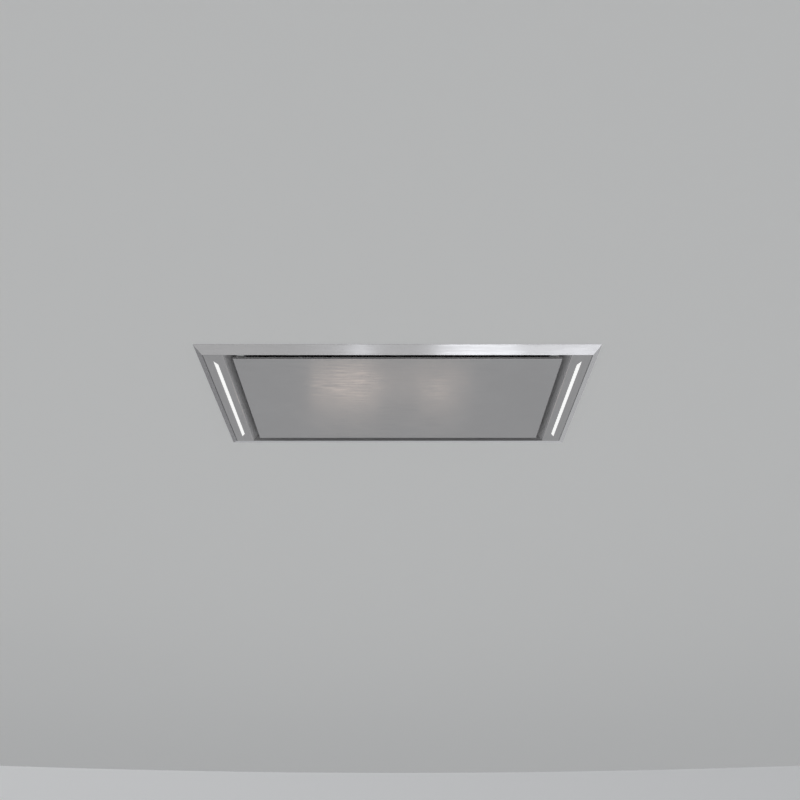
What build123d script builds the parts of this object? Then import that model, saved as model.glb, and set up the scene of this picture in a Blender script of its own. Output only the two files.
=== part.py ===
from build123d import *
from math import cos, pi, radians, sin
import os

# Ceiling range hood: a flush stainless underside with two light strips and a hinged suction
# panel, under a galvanised case that holds the filters, the blower and the control box.
# Millimetres. Origin: centre of the hood on the ceiling plane. +Z up, +X along the long side,
# -Y towards the cook. Everything above z = 0 is inside the ceiling.

os.makedirs("parts", exist_ok=True)

# ---------------------------------------------------------------- driving dimensions

# visible underside
hood_width = 900.0
hood_depth = 500.0
rim_drop = 9.0  # how far the trim hangs below the ceiling
rim_front = 30.0  # width of the front and rear bevels
rim_side = 15.0  # width of the side bevels
trim_sheet = 1.2
joint_line = 0.6  # shadow joint between the trim and the light panels
lip_top = 18.0  # height of the front and rear lips that line the suction slots
lip_gap = 0.3  # between the low lips and the case's flange

# case in the ceiling
case_inset_x = 30.0  # the case's walls, in from the hood's edges
case_inset_y = 20.0
case_height = 95.0
case_sheet = 1.0
case_corner = 3.0
flange_lap_x = 25.0  # width of the case's flange at the sides
flange_lap_y = 12.0
ceiling_hole = 2.5
ceiling_hole_edge = 10.0  # the four screws into the ceiling frame, in from the flange's sides
ceiling_hole_end = 42.0

# suction panel
slot_side = 19.2  # suction slot between the panel and the light panels
slot_front = 17.0  # suction slot at the front and the rear
panel_fold = 5.0
panel_sheet = 1.0
panel_corner = 2.0
panel_edge = 0.9  # outer radius of the folded edge, less than the sheet
liner_setback = 18.0
liner_height = 13.0
rib_inset = 60.0
rib_width = 30.0
rib_rise = 2.0

# light panels
light_flat = 45.2  # width of the flat part
light_bend = 5.0
lip_bend = 1.3
seal_bend = 1.6
slope_run = 17.2
slope_rise = 24.0
slope_bend = 3.0
seal_flange = 13.0
lip_return = 7.5
light_screw_inset = 7.0  # screws in from the rail's inner edge

# light strips
led_width = 8.4
led_inset = 23.4  # the strip's centre, in from the light panel's outer edge
led_end = 27.0  # the strip's longer edge, in from the window's front and rear
led_mitre = 15.0  # how much each mitred end shortens the strip's inner edge
lens_gap = 0.15
lens_flange = 1.5
lens_overlap = 1.3
channel_wall = 1.2
channel_height = 13.8
channel_overlap = 5.0
board_sheet = 1.6
chip_pitch = 12.5
chip_size = 3.0
chip_height = 0.7

# filters
filter_count = 3
filter_gap = 1.0
filter_side_gap = 1.0
filter_front_gap = 2.0  # between the filters' front edge and the front ledge
filter_rest = 12.0  # how far the filters reach over the rear ledge
filter_height = 9.0
filter_bar = 10.0
filter_lip = 1.5
groove_depth = 2.0
rail_level = 20.0  # underside of the filter rails' ledges
rail_sheet = 1.0
rail_ledge = 24.0
rail_leg = 26.0
rail_end_gap = 2.0
mesh_folds = 27
mesh_sheet = 1.0
mesh_gap = 0.3

# filter latches
pocket_half_width = 26.0
pocket_wall = 3.0
slider_half_width = 20.0
slider_length = 17.7
slider_gap = 0.3
slider_step = 2.5
slider_height = 6.9
mouth_half_width = 16.0
tongue_half_width = 12.0
tongue_reach = 10.0
tongue_height = 3.0
latch_travel = 9.0
spring_radius = 1.7
spring_wire = 0.3
spring_turns = 6
spring_block = 7.0  # length of the spring when the latch is pulled back
spring_seat = 0.5  # gap between the wire's centre and what the spring bears on

# panel hinge and catches
hinge_inset_x = 18.0  # hinge in from the panel's side
hinge_inset = 3.0  # pivot behind the panel's front edge
hinge_rise = 12.0  # pivot above the panel's underside
hinge_pin = 2.5
running_gap = 0.05
knuckle_radius = 4.5
arm_width = 8.0
arm_length = 14.5
arm_foot = 3.0
arm_gap = 0.5
pin_overhang = 1.0
cheek_sheet = 1.7
cheek_radius = 5.5
cheek_gap = 0.3
bracket_reach = 10.0
bracket_depth = 8.0
catch_inset_x = 5.5  # catches in from the panel's edges
catch_inset_y = 41.0
catch_width = 9.0
catch_length = 24.0
magnet_width = 7.0
magnet_length = 20.0
magnet_height = 4.8
strike_height = 7.2
strike_inset = 0.5
catch_gap = 0.3

# blower chamber
chamber_width = 340.0
chamber_depth = 290.0
chamber_height = 195.0
chamber_flange = 12.0
lid_skirt = 10.0
chamber_screw_inset_x = 50.0
chamber_screw_inset_y = 45.0

# scroll and impeller
outlet_y = 45.0  # centre of the duct outlet
impeller_radius = 75.0
impeller_length = 104.0
blade_count = 40
blade_depth = 12.0
blade_sheet = 1.0
blade_lean = 25.0
blade_recess = 1.0  # how far the blades' tips stay inside the end rings
end_ring = 2.0
disc_sheet = 3.0
hub_radius = 11.0
hub_length = 20.0
scroll_start = 83.0
scroll_end = 125.0
tongue_angle = 60.0
scroll_wall = 2.5
scroll_length = 120.0
scroll_flange = 10.0
scroll_flange_sheet = 3.0
axis_drop = 121.0  # impeller axis below the scroll's outlet face
inlet_radius = 59.0
inlet_sleeve = 2.0
inlet_flange = 72.0
inlet_depth = 6.0

# motor
shaft_radius = 4.0
motor_radius = 42.0
motor_length = 84.0
motor_start = 12.0
motor_wall = 2.0
bearing_radius = 11.0
bearing_width = 7.0
bearing_boss = 3.0
stator_bore = 22.6
stator_length = 48.0
rotor_gap = 0.6
slot_count = 12
slot_radius = 2.6
winding_depth = 6.0
winding_inner = 25.0
winding_outer = 37.0
mount_radius = 5.0
mount_circle_radius = 79.0
mount_height = 6.0
mount_count = 3
bracket_sheet = 2.0
bracket_ring = 6.0
bracket_arm = 11.0

# duct outlet and check flaps
duct_radius = 74.5
duct_wall = 1.5
duct_height = 40.0
duct_plate = 184.0
duct_plate_sheet = 3.0
duct_plate_corner = 12.0
flap_level = 14.0  # flap pivot above the lid
flap_sheet = 1.0
flap_gap = 1.2
flap_ledge = 4.0
flap_ledge_height = 1.5
flap_pin_radius = 2.0
flap_knuckle = 3.6
flap_knuckles = 6
flap_knuckle_gap = 0.6
flap_clearance = 0.8
flap_end_gap = 3.0

# control box
control_length = 190.0
control_width = 120.0
control_height = 45.0
control_sheet = 1.5
control_gap = 23.0  # between the control box and the chamber's flange
control_y = -18.0
control_skirt = 8.0
board_x = 118.0
board_y = 70.0
board_shift_x = 15.0
board_shift_y = 18.0
standoff_radius = 3.0
standoff_height = 6.0
standoff_inset = 6.0
relay_count = 3
relay_pitch = 25.0
relay_x = -35.0  # first relay, from the board's middle
relay_y = 18.0
relay_size = (19.0, 16.0, 15.0)
transformer_x = 35.0
transformer_y = -13.0
transformer_size = (24.0, 28.0, 18.0)
controller_x = -20.0
controller_y = -13.0
controller_size = (12.0, 12.0, 2.0)
terminal_poles = 5
terminal_pitch = 10.0
terminal_width = 20.0
terminal_height = 16.0
terminal_inset = 24.0
terminal_hole = 2.4
terminal_hole_depth = 5.0
capacitor_radius = 13.0
capacitor_length = 60.0
capacitor_gap = 2.0
capacitor_bend = 2.0
driver_length = 90.0
driver_width = 32.0
driver_height = 22.0
driver_shift = 42.0
driver_gap = 5.0
driver_corner = 3.0
gland_bore = 5.0
gland_body = 8.0
gland_nut = 11.0
gland_nut_length = 6.0
gland_dome = 9.0
gland_dome_lap = 1.5
gland_bend = 2.5
gland_level = 24.0  # gland axis above the case top
lead_radius = 3.5
lead_gap = 0.1
lead_inside = 3.0  # how far the lead reaches into the control box
lead_bend = 25.0
lead_run = 30.0  # length of the sloping run

# hangers and fasteners
hanger_inset = 35.0  # hangers in from the case's walls
hanger_hole = 4.5
hanger_sheet = 2.0
hanger_width = 30.0
hanger_height = 30.0
hanger_foot = 24.0
hanger_ear = 26.0
screw_radius = 2.0
screw_head = 4.0
screw_head_height = 2.5
screw_length = 10.0
screw_gap = 0.1
small_head = 3.5
small_shank = 5.0
clip_width = 22.0
clip_sheet = 0.8
clip_inset = 120.0  # outer clips in from the case's walls
clip_foot = 2.0
clip_rise = 14.0
clip_bow = 0.6  # height of the bow as a share of the clip's

# ---------------------------------------------------------------- sizes that follow

window_width = hood_width - 2 * rim_side
window_depth = hood_depth - 2 * rim_front
underside = -rim_drop
flange_under = -case_sheet
case_width = hood_width - 2 * case_inset_x
case_depth = hood_depth - 2 * case_inset_y
flange_width = case_width + 2 * flange_lap_x
flange_depth = case_depth + 2 * flange_lap_y
ceiling_hole_x = flange_width - 2 * ceiling_hole_edge
ceiling_hole_y = flange_depth - 2 * ceiling_hole_end
case_inner_x = case_width / 2 - case_sheet
case_inner_y = case_depth / 2 - case_sheet

light_outer = window_width / 2 - joint_line
light_inner = light_outer - light_flat
slope_top_x = light_inner - slope_run
slope_top_z = underside + slope_rise
light_depth = window_depth - 2 * joint_line
light_top = underside + trim_sheet
led_centre = light_outer - led_inset
led_outer = window_depth - 2 * led_end
led_inner = led_outer - 2 * led_mitre
chip_count = int(led_inner // chip_pitch) + 1

panel_width = 2 * (light_inner - slot_side)
panel_depth = window_depth - 2 * slot_front

rail_length = 2 * (case_inner_x - rail_end_gap)
filter_row = 2 * (slope_top_x - seal_flange - filter_side_gap)
filter_width = (filter_row - (filter_count - 1) * filter_gap) / filter_count
filter_front = case_inner_y - rail_ledge - filter_front_gap
filter_rear = case_inner_y - rail_ledge + filter_rest
filter_level = rail_level + rail_sheet
filter_depth = filter_front + filter_rear
filter_middle = (filter_rear - filter_front) / 2
filter_pitch = filter_width + filter_gap
filter_places = [(k - (filter_count - 1) / 2) * filter_pitch for k in range(filter_count)]

hinge_x = panel_width / 2 - hinge_inset_x
hinge_y = -panel_depth / 2 + hinge_inset
hinge_z = underside + hinge_rise
skin_top = underside + panel_sheet
catch_x = panel_width / 2 - catch_inset_x
catch_y = panel_depth / 2 - catch_inset_y

case_top = case_height
chamber_top = case_top + chamber_height
lid_top = chamber_top + case_sheet
tongue_y = scroll_start * cos(radians(tongue_angle))
axis_y = outlet_y - (tongue_y + scroll_end) / 2
axis_z = chamber_top - axis_drop

control_x = -(chamber_width / 2 + chamber_flange + control_gap + control_length / 2)
hanger_x = case_width / 2 - hanger_inset
hanger_y = case_depth / 2 - hanger_inset

SIDES = (-1, 1)


# ---------------------------------------------------------------- shared shapes


def disc_x(x, y, z, radius, length, mode=Mode.ADD):
    """A round bar along +X that starts at x."""
    with BuildSketch(Plane.YZ.offset(x), mode=Mode.PRIVATE) as section:
        with Locations((y, z)):
            Circle(radius)
    extrude(section.sketch, amount=length, dir=(1, 0, 0), mode=mode)


def bar(x, y, z, length, width, height, mode=Mode.ADD):
    """A box centred on x and y that stands on z."""
    with Locations((x, y, z)):
        Box(length, width, height, align=(Align.CENTER, Align.CENTER, Align.MIN), mode=mode)


def pan_screw(x, y, z, length=screw_length):
    """A pan-head screw whose head stands on z and whose shank points down."""
    with Locations((x, y, z)):
        Cylinder(screw_head, screw_head_height, align=(Align.CENTER, Align.CENTER, Align.MIN))
    with Locations((x, y, z - length)):
        Cylinder(screw_radius, length, align=(Align.CENTER, Align.CENTER, Align.MIN))


def screw_holes(places, z, depth):
    """Clearance holes for screws, from z upwards."""
    for x, y in places:
        with Locations((x, y, z)):
            Cylinder(
                screw_radius + screw_gap,
                depth,
                align=(Align.CENTER, Align.CENTER, Align.MIN),
                mode=Mode.SUBTRACT,
            )


chamber_screw_x = chamber_width / 2 + chamber_flange / 2
chamber_screw_y = chamber_depth / 2 + chamber_flange / 2
chamber_screw_row_x = chamber_width / 2 - chamber_screw_inset_x
chamber_screw_row_y = chamber_depth / 2 - chamber_screw_inset_y
chamber_screws = [(sx * chamber_screw_x, sy * chamber_screw_row_y) for sx in SIDES for sy in SIDES]
chamber_screws += [(sx * chamber_screw_row_x, sy * chamber_screw_y) for sx in SIDES for sy in SIDES]
duct_screw = duct_plate / 2 - duct_plate_corner
duct_screws = [(sx * duct_screw, outlet_y + sy * duct_screw) for sx in SIDES for sy in SIDES]
light_screw_x = slope_top_x - seal_flange / 2
light_screw_y = case_inner_y - rail_ledge + light_screw_inset
light_screws = [(sx * light_screw_x, sy * light_screw_y) for sx in SIDES for sy in SIDES]


# ---------------------------------------------------------------- case

with BuildPart() as housing_shell:
    with BuildSketch(Plane.XY.offset(flange_under)):
        Rectangle(flange_width, flange_depth)
    extrude(amount=case_sheet)
    with BuildSketch(Plane.XY.offset(flange_under)):
        RectangleRounded(case_width, case_depth, case_corner)
    extrude(amount=case_top - flange_under)
    with BuildSketch(Plane.XY.offset(flange_under)):
        RectangleRounded(2 * case_inner_x, 2 * case_inner_y, case_corner - case_sheet)
    extrude(amount=case_top - case_sheet - flange_under, mode=Mode.SUBTRACT)
    # opening into the blower chamber
    bar(
        0,
        0,
        case_top - case_sheet,
        chamber_width - 2 * chamber_flange,
        chamber_depth - 2 * case_sheet,
        case_sheet,
        Mode.SUBTRACT,
    )
    with GridLocations(ceiling_hole_x, ceiling_hole_y, 2, 2):
        Hole(ceiling_hole, depth=2 * case_sheet)
    screw_holes(chamber_screws, case_top - case_sheet, case_sheet)
housing_shell.part.label = "housing_shell"
export_step(housing_shell.part, "parts/housing_shell.step")

# ---------------------------------------------------------------- visible trim

# A mitred bevel that starts on the ceiling and slopes down and inwards to the window, with a
# short lip at the light panels and a tall one at the front and rear suction slots.
with BuildPart() as ceiling_frame:
    with BuildSketch(Plane.XY):
        Rectangle(hood_width, hood_depth)
    with BuildSketch(Plane.XY.offset(underside)):
        Rectangle(window_width, window_depth)
    loft()
    offset(
        amount=-trim_sheet,
        openings=ceiling_frame.faces().sort_by(Axis.Z)[-1],
        kind=Kind.INTERSECTION,
    )
    low_lip = flange_under - lip_gap - light_top
    with BuildSketch(Plane.XY.offset(light_top)):
        Rectangle(window_width + 2 * trim_sheet, window_depth + 2 * trim_sheet)
    extrude(amount=low_lip)
    for side in SIDES:
        bar(
            0,
            side * (window_depth + trim_sheet) / 2,
            light_top,
            rail_length,
            trim_sheet,
            lip_top - light_top,
        )
    bar(0, 0, underside, window_width, window_depth, lip_top - underside, Mode.SUBTRACT)
ceiling_frame.part.label = "ceiling_frame"
export_step(ceiling_frame.part, "parts/ceiling_frame.step")

# Leaf springs that hold the trim in the case: a foot on the lip and a bowed blade that presses
# on the case wall.
clip_span = case_inner_y - window_depth / 2 - trim_sheet
clip_top = clip_foot + clip_rise
bow_z = clip_foot + clip_rise * clip_bow
with BuildPart() as frame_clips:
    for side in SIDES:
        lip_face = side * (window_depth / 2 + trim_sheet)
        for place in (-1, 0, 1):
            x = place * (case_width / 2 - clip_inset)
            with BuildSketch(Plane.YZ.offset(x - clip_width / 2)):
                with BuildLine():
                    Polyline(
                        (lip_face, clip_foot),
                        (lip_face + side * clip_sheet, clip_foot),
                        (lip_face + side * clip_span, bow_z),
                        (lip_face + side * clip_sheet, clip_top),
                        (lip_face, clip_top),
                        (lip_face, clip_top - clip_sheet),
                        (lip_face + side * (clip_span - 2 * clip_sheet), bow_z),
                        (lip_face, clip_foot + 4 * clip_sheet),
                        close=True,
                    )
                make_face()
            extrude(amount=clip_width)
frame_clips.part.label = "frame_clips"
export_step(frame_clips.part, "parts/frame_clips.step")


# ---------------------------------------------------------------- light panels


def light_outline(side):
    """The trapezium of a light strip: its outer edge is the longer one."""
    inner = side * (led_centre - led_width / 2)
    outer = side * (led_centre + led_width / 2)
    return [
        (inner, -led_inner / 2),
        (outer, -led_outer / 2),
        (outer, led_outer / 2),
        (inner, led_inner / 2),
    ]


def light_panel(side):
    """Folded sheet: a flat with the lens slot, a round bend, a slope up to the filters."""
    with BuildPart() as panel:
        with BuildSketch(Plane.XZ):
            with BuildLine():
                FilletPolyline(
                    (light_outer, underside + lip_return),
                    (light_outer, underside),
                    (light_inner, underside),
                    (slope_top_x, slope_top_z),
                    (slope_top_x, rail_level - trim_sheet),
                    (slope_top_x - seal_flange, rail_level - trim_sheet),
                    radius=[lip_bend, light_bend, slope_bend, seal_bend],
                )
                offset(amount=trim_sheet, side=Side.RIGHT)
            make_face()
        extrude(amount=light_depth / 2, both=True)
        with BuildSketch(Plane.XY.offset(underside)):
            with BuildLine():
                Polyline(*light_outline(1), close=True)
            make_face()
        extrude(amount=trim_sheet, mode=Mode.SUBTRACT)
        screw_holes([(light_screw_x, s * light_screw_y) for s in SIDES], 0, 2 * rail_level)
    if side > 0:
        return panel
    with BuildPart() as mirrored:
        mirror(panel.part, about=Plane.YZ)
    return mirrored


def light_lens(side):
    """Opal strip, flush with the panel, on a flange that rests on the sheet."""
    with BuildPart() as lens:
        with BuildSketch(Plane.XY.offset(underside)):
            with BuildLine():
                Polyline(*light_outline(side), close=True)
            make_face()
            offset(amount=-lens_gap, mode=Mode.REPLACE)
        extrude(amount=trim_sheet)
        bar(
            side * led_centre,
            0,
            light_top,
            led_width + 2 * lens_overlap,
            led_outer + 2 * lens_overlap,
            lens_flange,
        )
    return lens


side_panel_left = light_panel(-1)
side_panel_left.part.label = "side_panel_left"
export_step(side_panel_left.part, "parts/side_panel_left.step")

side_panel_right = light_panel(1)
side_panel_right.part.label = "side_panel_right"
export_step(side_panel_right.part, "parts/side_panel_right.step")

led_lens_left = light_lens(-1)
led_lens_left.part.label = "led_lens_left"
export_step(led_lens_left.part, "parts/led_lens_left.step")

led_lens_right = light_lens(1)
led_lens_right.part.label = "led_lens_right"
export_step(led_lens_right.part, "parts/led_lens_right.step")

cavity_width = led_width + 2 * lens_overlap + 2 * lens_gap
cavity_length = led_outer + channel_overlap
channel_top = light_top + channel_height
with BuildPart() as led_channels:
    for side in SIDES:
        bar(
            side * led_centre,
            0,
            light_top,
            cavity_width + 2 * channel_wall,
            cavity_length + 2 * channel_wall,
            channel_height,
        )
        bar(
            side * led_centre,
            0,
            light_top,
            cavity_width,
            cavity_length,
            channel_height - channel_wall,
            Mode.SUBTRACT,
        )
led_channels.part.label = "led_channels"
export_step(led_channels.part, "parts/led_channels.step")

board_level = channel_top - channel_wall - board_sheet
with BuildPart() as led_boards:
    for side in SIDES:
        bar(side * led_centre, 0, board_level, led_width, led_inner + chip_pitch, board_sheet)
        for k in range(chip_count):
            chip_y = (k - (chip_count - 1) / 2) * chip_pitch
            bar(side * led_centre, chip_y, board_level - chip_height, chip_size, chip_size, chip_height)
led_boards.part.label = "led_boards"
export_step(led_boards.part, "parts/led_boards.step")


# ---------------------------------------------------------------- filters and their rails


def filter_rail(side):
    """Angle on the case wall whose ledge carries the filters; side is -1 front, 1 rear."""
    with BuildPart() as rail:
        bar(
            0,
            side * (case_inner_y - rail_ledge / 2),
            rail_level,
            rail_length,
            rail_ledge,
            rail_sheet,
        )
        bar(
            0,
            side * (case_inner_y - rail_sheet / 2),
            rail_level,
            rail_length,
            rail_sheet,
            rail_leg,
        )
        places = [(s * light_screw_x, side * light_screw_y) for s in SIDES]
        screw_holes(places, rail_level, rail_sheet)
    return rail


filter_rail_front = filter_rail(-1)
filter_rail_front.part.label = "filter_rail_front"
export_step(filter_rail_front.part, "parts/filter_rail_front.step")

filter_rail_rear = filter_rail(1)
filter_rail_rear.part.label = "filter_rail_rear"
export_step(filter_rail_rear.part, "parts/filter_rail_rear.step")

slider_front = -filter_front + pocket_wall + slider_gap
slider_rear = slider_front + slider_length
pocket_rear = slider_rear + latch_travel + spring_block
pocket_depth = pocket_rear + pocket_wall + filter_front
pocket_y = -filter_front + pocket_depth / 2
pocket_floor = filter_level + slider_step
pocket_roof = filter_level + slider_gap + slider_height + slider_gap
grid_width = filter_width - 2 * filter_bar
grid_depth = filter_depth - 2 * filter_bar


def filter_frame(x):
    """Grooved aluminium frame with a latch pocket in the middle of its front bar."""
    with BuildPart() as frame:
        bar(x, filter_middle, filter_level, filter_width, filter_depth, filter_height)
        bar(x, filter_middle, filter_level, grid_width, grid_depth, filter_height, Mode.SUBTRACT)
        bar(
            x,
            filter_middle,
            filter_level + filter_lip,
            grid_width + 2 * groove_depth,
            grid_depth + 2 * groove_depth,
            filter_height - 2 * filter_lip,
            Mode.SUBTRACT,
        )
        bar(x, pocket_y, filter_level, 2 * pocket_half_width, pocket_depth, filter_height)
        # slider room: a wide upper channel over a narrower mouth, and a window for the tongue
        room_front = slider_front - slider_gap
        room = pocket_rear - room_front
        bar(
            x,
            room_front + room / 2,
            pocket_floor,
            2 * (slider_half_width + slider_gap),
            room,
            pocket_roof - pocket_floor,
            Mode.SUBTRACT,
        )
        bar(
            x,
            room_front + room / 2,
            filter_level,
            2 * (mouth_half_width + slider_gap),
            room,
            slider_step,
            Mode.SUBTRACT,
        )
        bar(
            x,
            -filter_front,
            filter_level,
            2 * (tongue_half_width + slider_gap),
            2 * (pocket_wall + slider_gap),
            tongue_height + 2 * slider_gap,
            Mode.SUBTRACT,
        )
    return frame


def filter_mesh(x):
    """Pleated mesh pad: a zigzag sheet with its folds along Y, notched round the pocket."""
    pad_width = grid_width + 2 * groove_depth - 2 * mesh_gap
    pad_depth = grid_depth + 2 * groove_depth - 2 * mesh_gap
    level = filter_level + filter_height / 2
    swing = filter_height / 2 - filter_lip - mesh_gap / 3 - mesh_sheet / 2
    step = pad_width / (2 * mesh_folds)
    wave = [(x - pad_width / 2 + k * step, (-1) ** k * swing) for k in range(2 * mesh_folds + 1)]
    upper = [(px, level + pz + mesh_sheet / 2) for px, pz in wave]
    lower = [(px, level + pz - mesh_sheet / 2) for px, pz in reversed(wave)]
    with BuildPart() as mesh:
        with BuildSketch(Plane.XZ.offset(-filter_middle)):
            with BuildLine():
                Polyline(*upper, *lower, close=True)
            make_face()
        extrude(amount=pad_depth / 2, both=True)
        bar(
            x,
            pocket_y,
            filter_level,
            2 * (pocket_half_width + mesh_gap),
            pocket_depth + 2 * mesh_gap,
            filter_height,
            Mode.SUBTRACT,
        )
    return mesh


def filter_latch(x):
    """Sprung slider with a finger groove, and a tongue that rests over the front rail."""
    bottom = filter_level + slider_gap
    with BuildPart() as latch:
        middle = (slider_front + slider_rear) / 2
        bar(
            x,
            middle,
            pocket_floor + slider_gap,
            2 * slider_half_width,
            slider_length,
            bottom + slider_height - pocket_floor - slider_gap,
        )
        bar(
            x,
            middle,
            bottom,
            2 * mouth_half_width,
            slider_length,
            pocket_floor + slider_gap - bottom,
        )
        tongue_front = -filter_front - tongue_reach
        bar(
            x,
            (tongue_front + slider_front) / 2,
            bottom,
            2 * tongue_half_width,
            slider_front - tongue_front,
            tongue_height,
        )
        # finger groove across the underside
        bar(x, middle, bottom, 2 * tongue_half_width, slider_length / 2, slider_step, Mode.SUBTRACT)
    return latch


def latch_spring(x):
    """Open compression spring between the slider and the pocket's rear wall."""
    start = slider_rear + spring_seat
    length = pocket_rear - spring_seat - start
    level = (pocket_floor + pocket_roof) / 2
    with BuildPart() as spring:
        with BuildLine() as coil:
            Helix(
                length / spring_turns,
                length,
                spring_radius,
                center=(x, start, level),
                direction=(0, 1, 0),
            )
        with BuildSketch(Plane(coil.line @ 0, z_dir=coil.line % 0)):
            Circle(spring_wire)
        sweep(path=coil.line, is_frenet=True)
    return spring


for number, place in enumerate(filter_places, start=1):
    frame_piece = filter_frame(place)
    frame_piece.part.label = f"filter_frame_{number}"
    export_step(frame_piece.part, f"parts/filter_frame_{number}.step")
    mesh_piece = filter_mesh(place)
    mesh_piece.part.label = f"filter_mesh_{number}"
    export_step(mesh_piece.part, f"parts/filter_mesh_{number}.step")
    latch_piece = filter_latch(place)
    latch_piece.part.label = f"filter_latch_{number}"
    export_step(latch_piece.part, f"parts/filter_latch_{number}.step")
    spring_piece = latch_spring(place)
    spring_piece.part.label = f"latch_spring_{number}"
    export_step(spring_piece.part, f"parts/latch_spring_{number}.step")

# ---------------------------------------------------------------- suction panel

with BuildPart() as panel_skin:
    with BuildSketch(Plane.XY.offset(underside)):
        RectangleRounded(panel_width, panel_depth, panel_corner)
    extrude(amount=panel_fold)
    fillet(panel_skin.edges().group_by(Axis.Z)[0], radius=panel_edge)
    with BuildSketch(Plane.XY.offset(skin_top)):
        RectangleRounded(
            panel_width - 2 * panel_sheet,
            panel_depth - 2 * panel_sheet,
            panel_corner - panel_sheet,
        )
    extrude(amount=panel_fold, mode=Mode.SUBTRACT)
panel_skin.part.label = "panel_skin"
export_step(panel_skin.part, "parts/panel_skin.step")

liner_width = panel_width - 2 * liner_setback
liner_depth = panel_depth - 2 * liner_setback
with BuildPart() as panel_liner:
    bar(0, 0, skin_top, liner_width, liner_depth, liner_height)
    bar(
        0,
        0,
        skin_top,
        liner_width - 2 * panel_sheet,
        liner_depth - 2 * panel_sheet,
        liner_height - panel_sheet,
        Mode.SUBTRACT,
    )
    # one pressed rib along the tray, open to the inside, that stiffens it
    rib_length = liner_width - 2 * rib_inset
    liner_top = skin_top + liner_height
    bar(0, 0, liner_top, rib_length, rib_width, rib_rise)
    bar(
        0,
        0,
        liner_top - panel_sheet,
        rib_length - 2 * panel_sheet,
        rib_width - 2 * panel_sheet,
        rib_rise,
        Mode.SUBTRACT,
    )
panel_liner.part.label = "panel_liner"
export_step(panel_liner.part, "parts/panel_liner.step")

with BuildPart() as hinge_arms:
    for side in SIDES:
        x = side * hinge_x - arm_width / 2
        foot_front = -panel_depth / 2 + panel_sheet + arm_gap
        with BuildSketch(Plane.YZ.offset(x)):
            with Locations((hinge_y, hinge_z)):
                Circle(knuckle_radius)
            with BuildLine():
                Polyline(
                    (foot_front, skin_top),
                    (foot_front + arm_length, skin_top),
                    (foot_front + arm_length, skin_top + arm_foot),
                    (hinge_y + knuckle_radius, hinge_z),
                    (hinge_y, hinge_z),
                    (foot_front, skin_top + arm_foot),
                    close=True,
                )
            make_face()
            with Locations((hinge_y, hinge_z)):
                Circle(hinge_pin + running_gap, mode=Mode.SUBTRACT)
        extrude(amount=arm_width)
hinge_arms.part.label = "hinge_arms"
export_step(hinge_arms.part, "parts/hinge_arms.step")

cheek_offset = arm_width / 2 + cheek_gap
with BuildPart() as hinge_brackets:
    for side in SIDES:
        for start in (-cheek_offset - cheek_sheet, cheek_offset):
            with BuildSketch(Plane.YZ.offset(side * hinge_x + start)):
                with Locations((hinge_y, hinge_z)):
                    Circle(cheek_radius)
                with BuildLine():
                    Polyline(
                        (hinge_y - cheek_radius, hinge_z),
                        (hinge_y + cheek_radius, hinge_z),
                        (hinge_y + cheek_radius, rail_level),
                        (hinge_y - cheek_radius - bracket_reach, rail_level),
                        (hinge_y - cheek_radius - bracket_reach, rail_level - bracket_depth / 2),
                        (hinge_y - cheek_radius, rail_level - bracket_depth),
                        close=True,
                    )
                make_face()
                with Locations((hinge_y, hinge_z)):
                    Circle(hinge_pin, mode=Mode.SUBTRACT)
            extrude(amount=cheek_sheet)
        bar(
            side * hinge_x,
            hinge_y - cheek_radius - bracket_reach / 2,
            rail_level - cheek_sheet,
            2 * cheek_offset + 2 * cheek_sheet,
            bracket_reach,
            cheek_sheet,
        )
hinge_brackets.part.label = "hinge_brackets"
export_step(hinge_brackets.part, "parts/hinge_brackets.step")

pin_length = 2 * (cheek_offset + cheek_sheet + pin_overhang)
with BuildPart() as hinge_pins:
    for side in SIDES:
        disc_x(side * hinge_x - pin_length / 2, hinge_y, hinge_z, hinge_pin, pin_length)
hinge_pins.part.label = "hinge_pins"
export_step(hinge_pins.part, "parts/hinge_pins.step")

strike_top = skin_top + strike_height
magnet_base = strike_top + catch_gap
holder_top = rail_level - trim_sheet
with BuildPart() as catch_magnets:
    for side in SIDES:
        bar(side * catch_x, catch_y, magnet_base, magnet_width, magnet_length, magnet_height)
        bar(
            side * catch_x,
            catch_y,
            magnet_base + magnet_height,
            catch_width,
            catch_length,
            holder_top - magnet_base - magnet_height,
        )
catch_magnets.part.label = "catch_magnets"
export_step(catch_magnets.part, "parts/catch_magnets.step")

strike_width = catch_width - 2 * strike_inset
with BuildPart() as strike_plates:
    for side in SIDES:
        x = side * (catch_x - strike_inset)
        bar(x, catch_y, skin_top, strike_width, catch_length, strike_height)
        bar(
            x,
            catch_y,
            skin_top,
            strike_width,
            catch_length - 4 * panel_sheet,
            strike_height - 1.5 * panel_sheet,
            Mode.SUBTRACT,
        )
strike_plates.part.label = "strike_plates"
export_step(strike_plates.part, "parts/strike_plates.step")

# ---------------------------------------------------------------- blower chamber

lead_z = case_top + gland_level
lead_y = control_y
with BuildPart() as blower_chamber:
    bar(
        0,
        0,
        case_top,
        chamber_width + 2 * chamber_flange,
        chamber_depth + 2 * chamber_flange,
        case_sheet,
    )
    bar(0, 0, case_top, chamber_width, chamber_depth, chamber_height)
    bar(
        0,
        0,
        case_top,
        chamber_width - 2 * case_sheet,
        chamber_depth - 2 * case_sheet,
        chamber_height,
        Mode.SUBTRACT,
    )
    screw_holes(chamber_screws, case_top, case_sheet)
    disc_x(
        -chamber_width / 2,
        lead_y,
        lead_z,
        lead_radius + lead_gap,
        2 * case_sheet,
        Mode.SUBTRACT,
    )
blower_chamber.part.label = "blower_chamber"
export_step(blower_chamber.part, "parts/blower_chamber.step")

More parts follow.
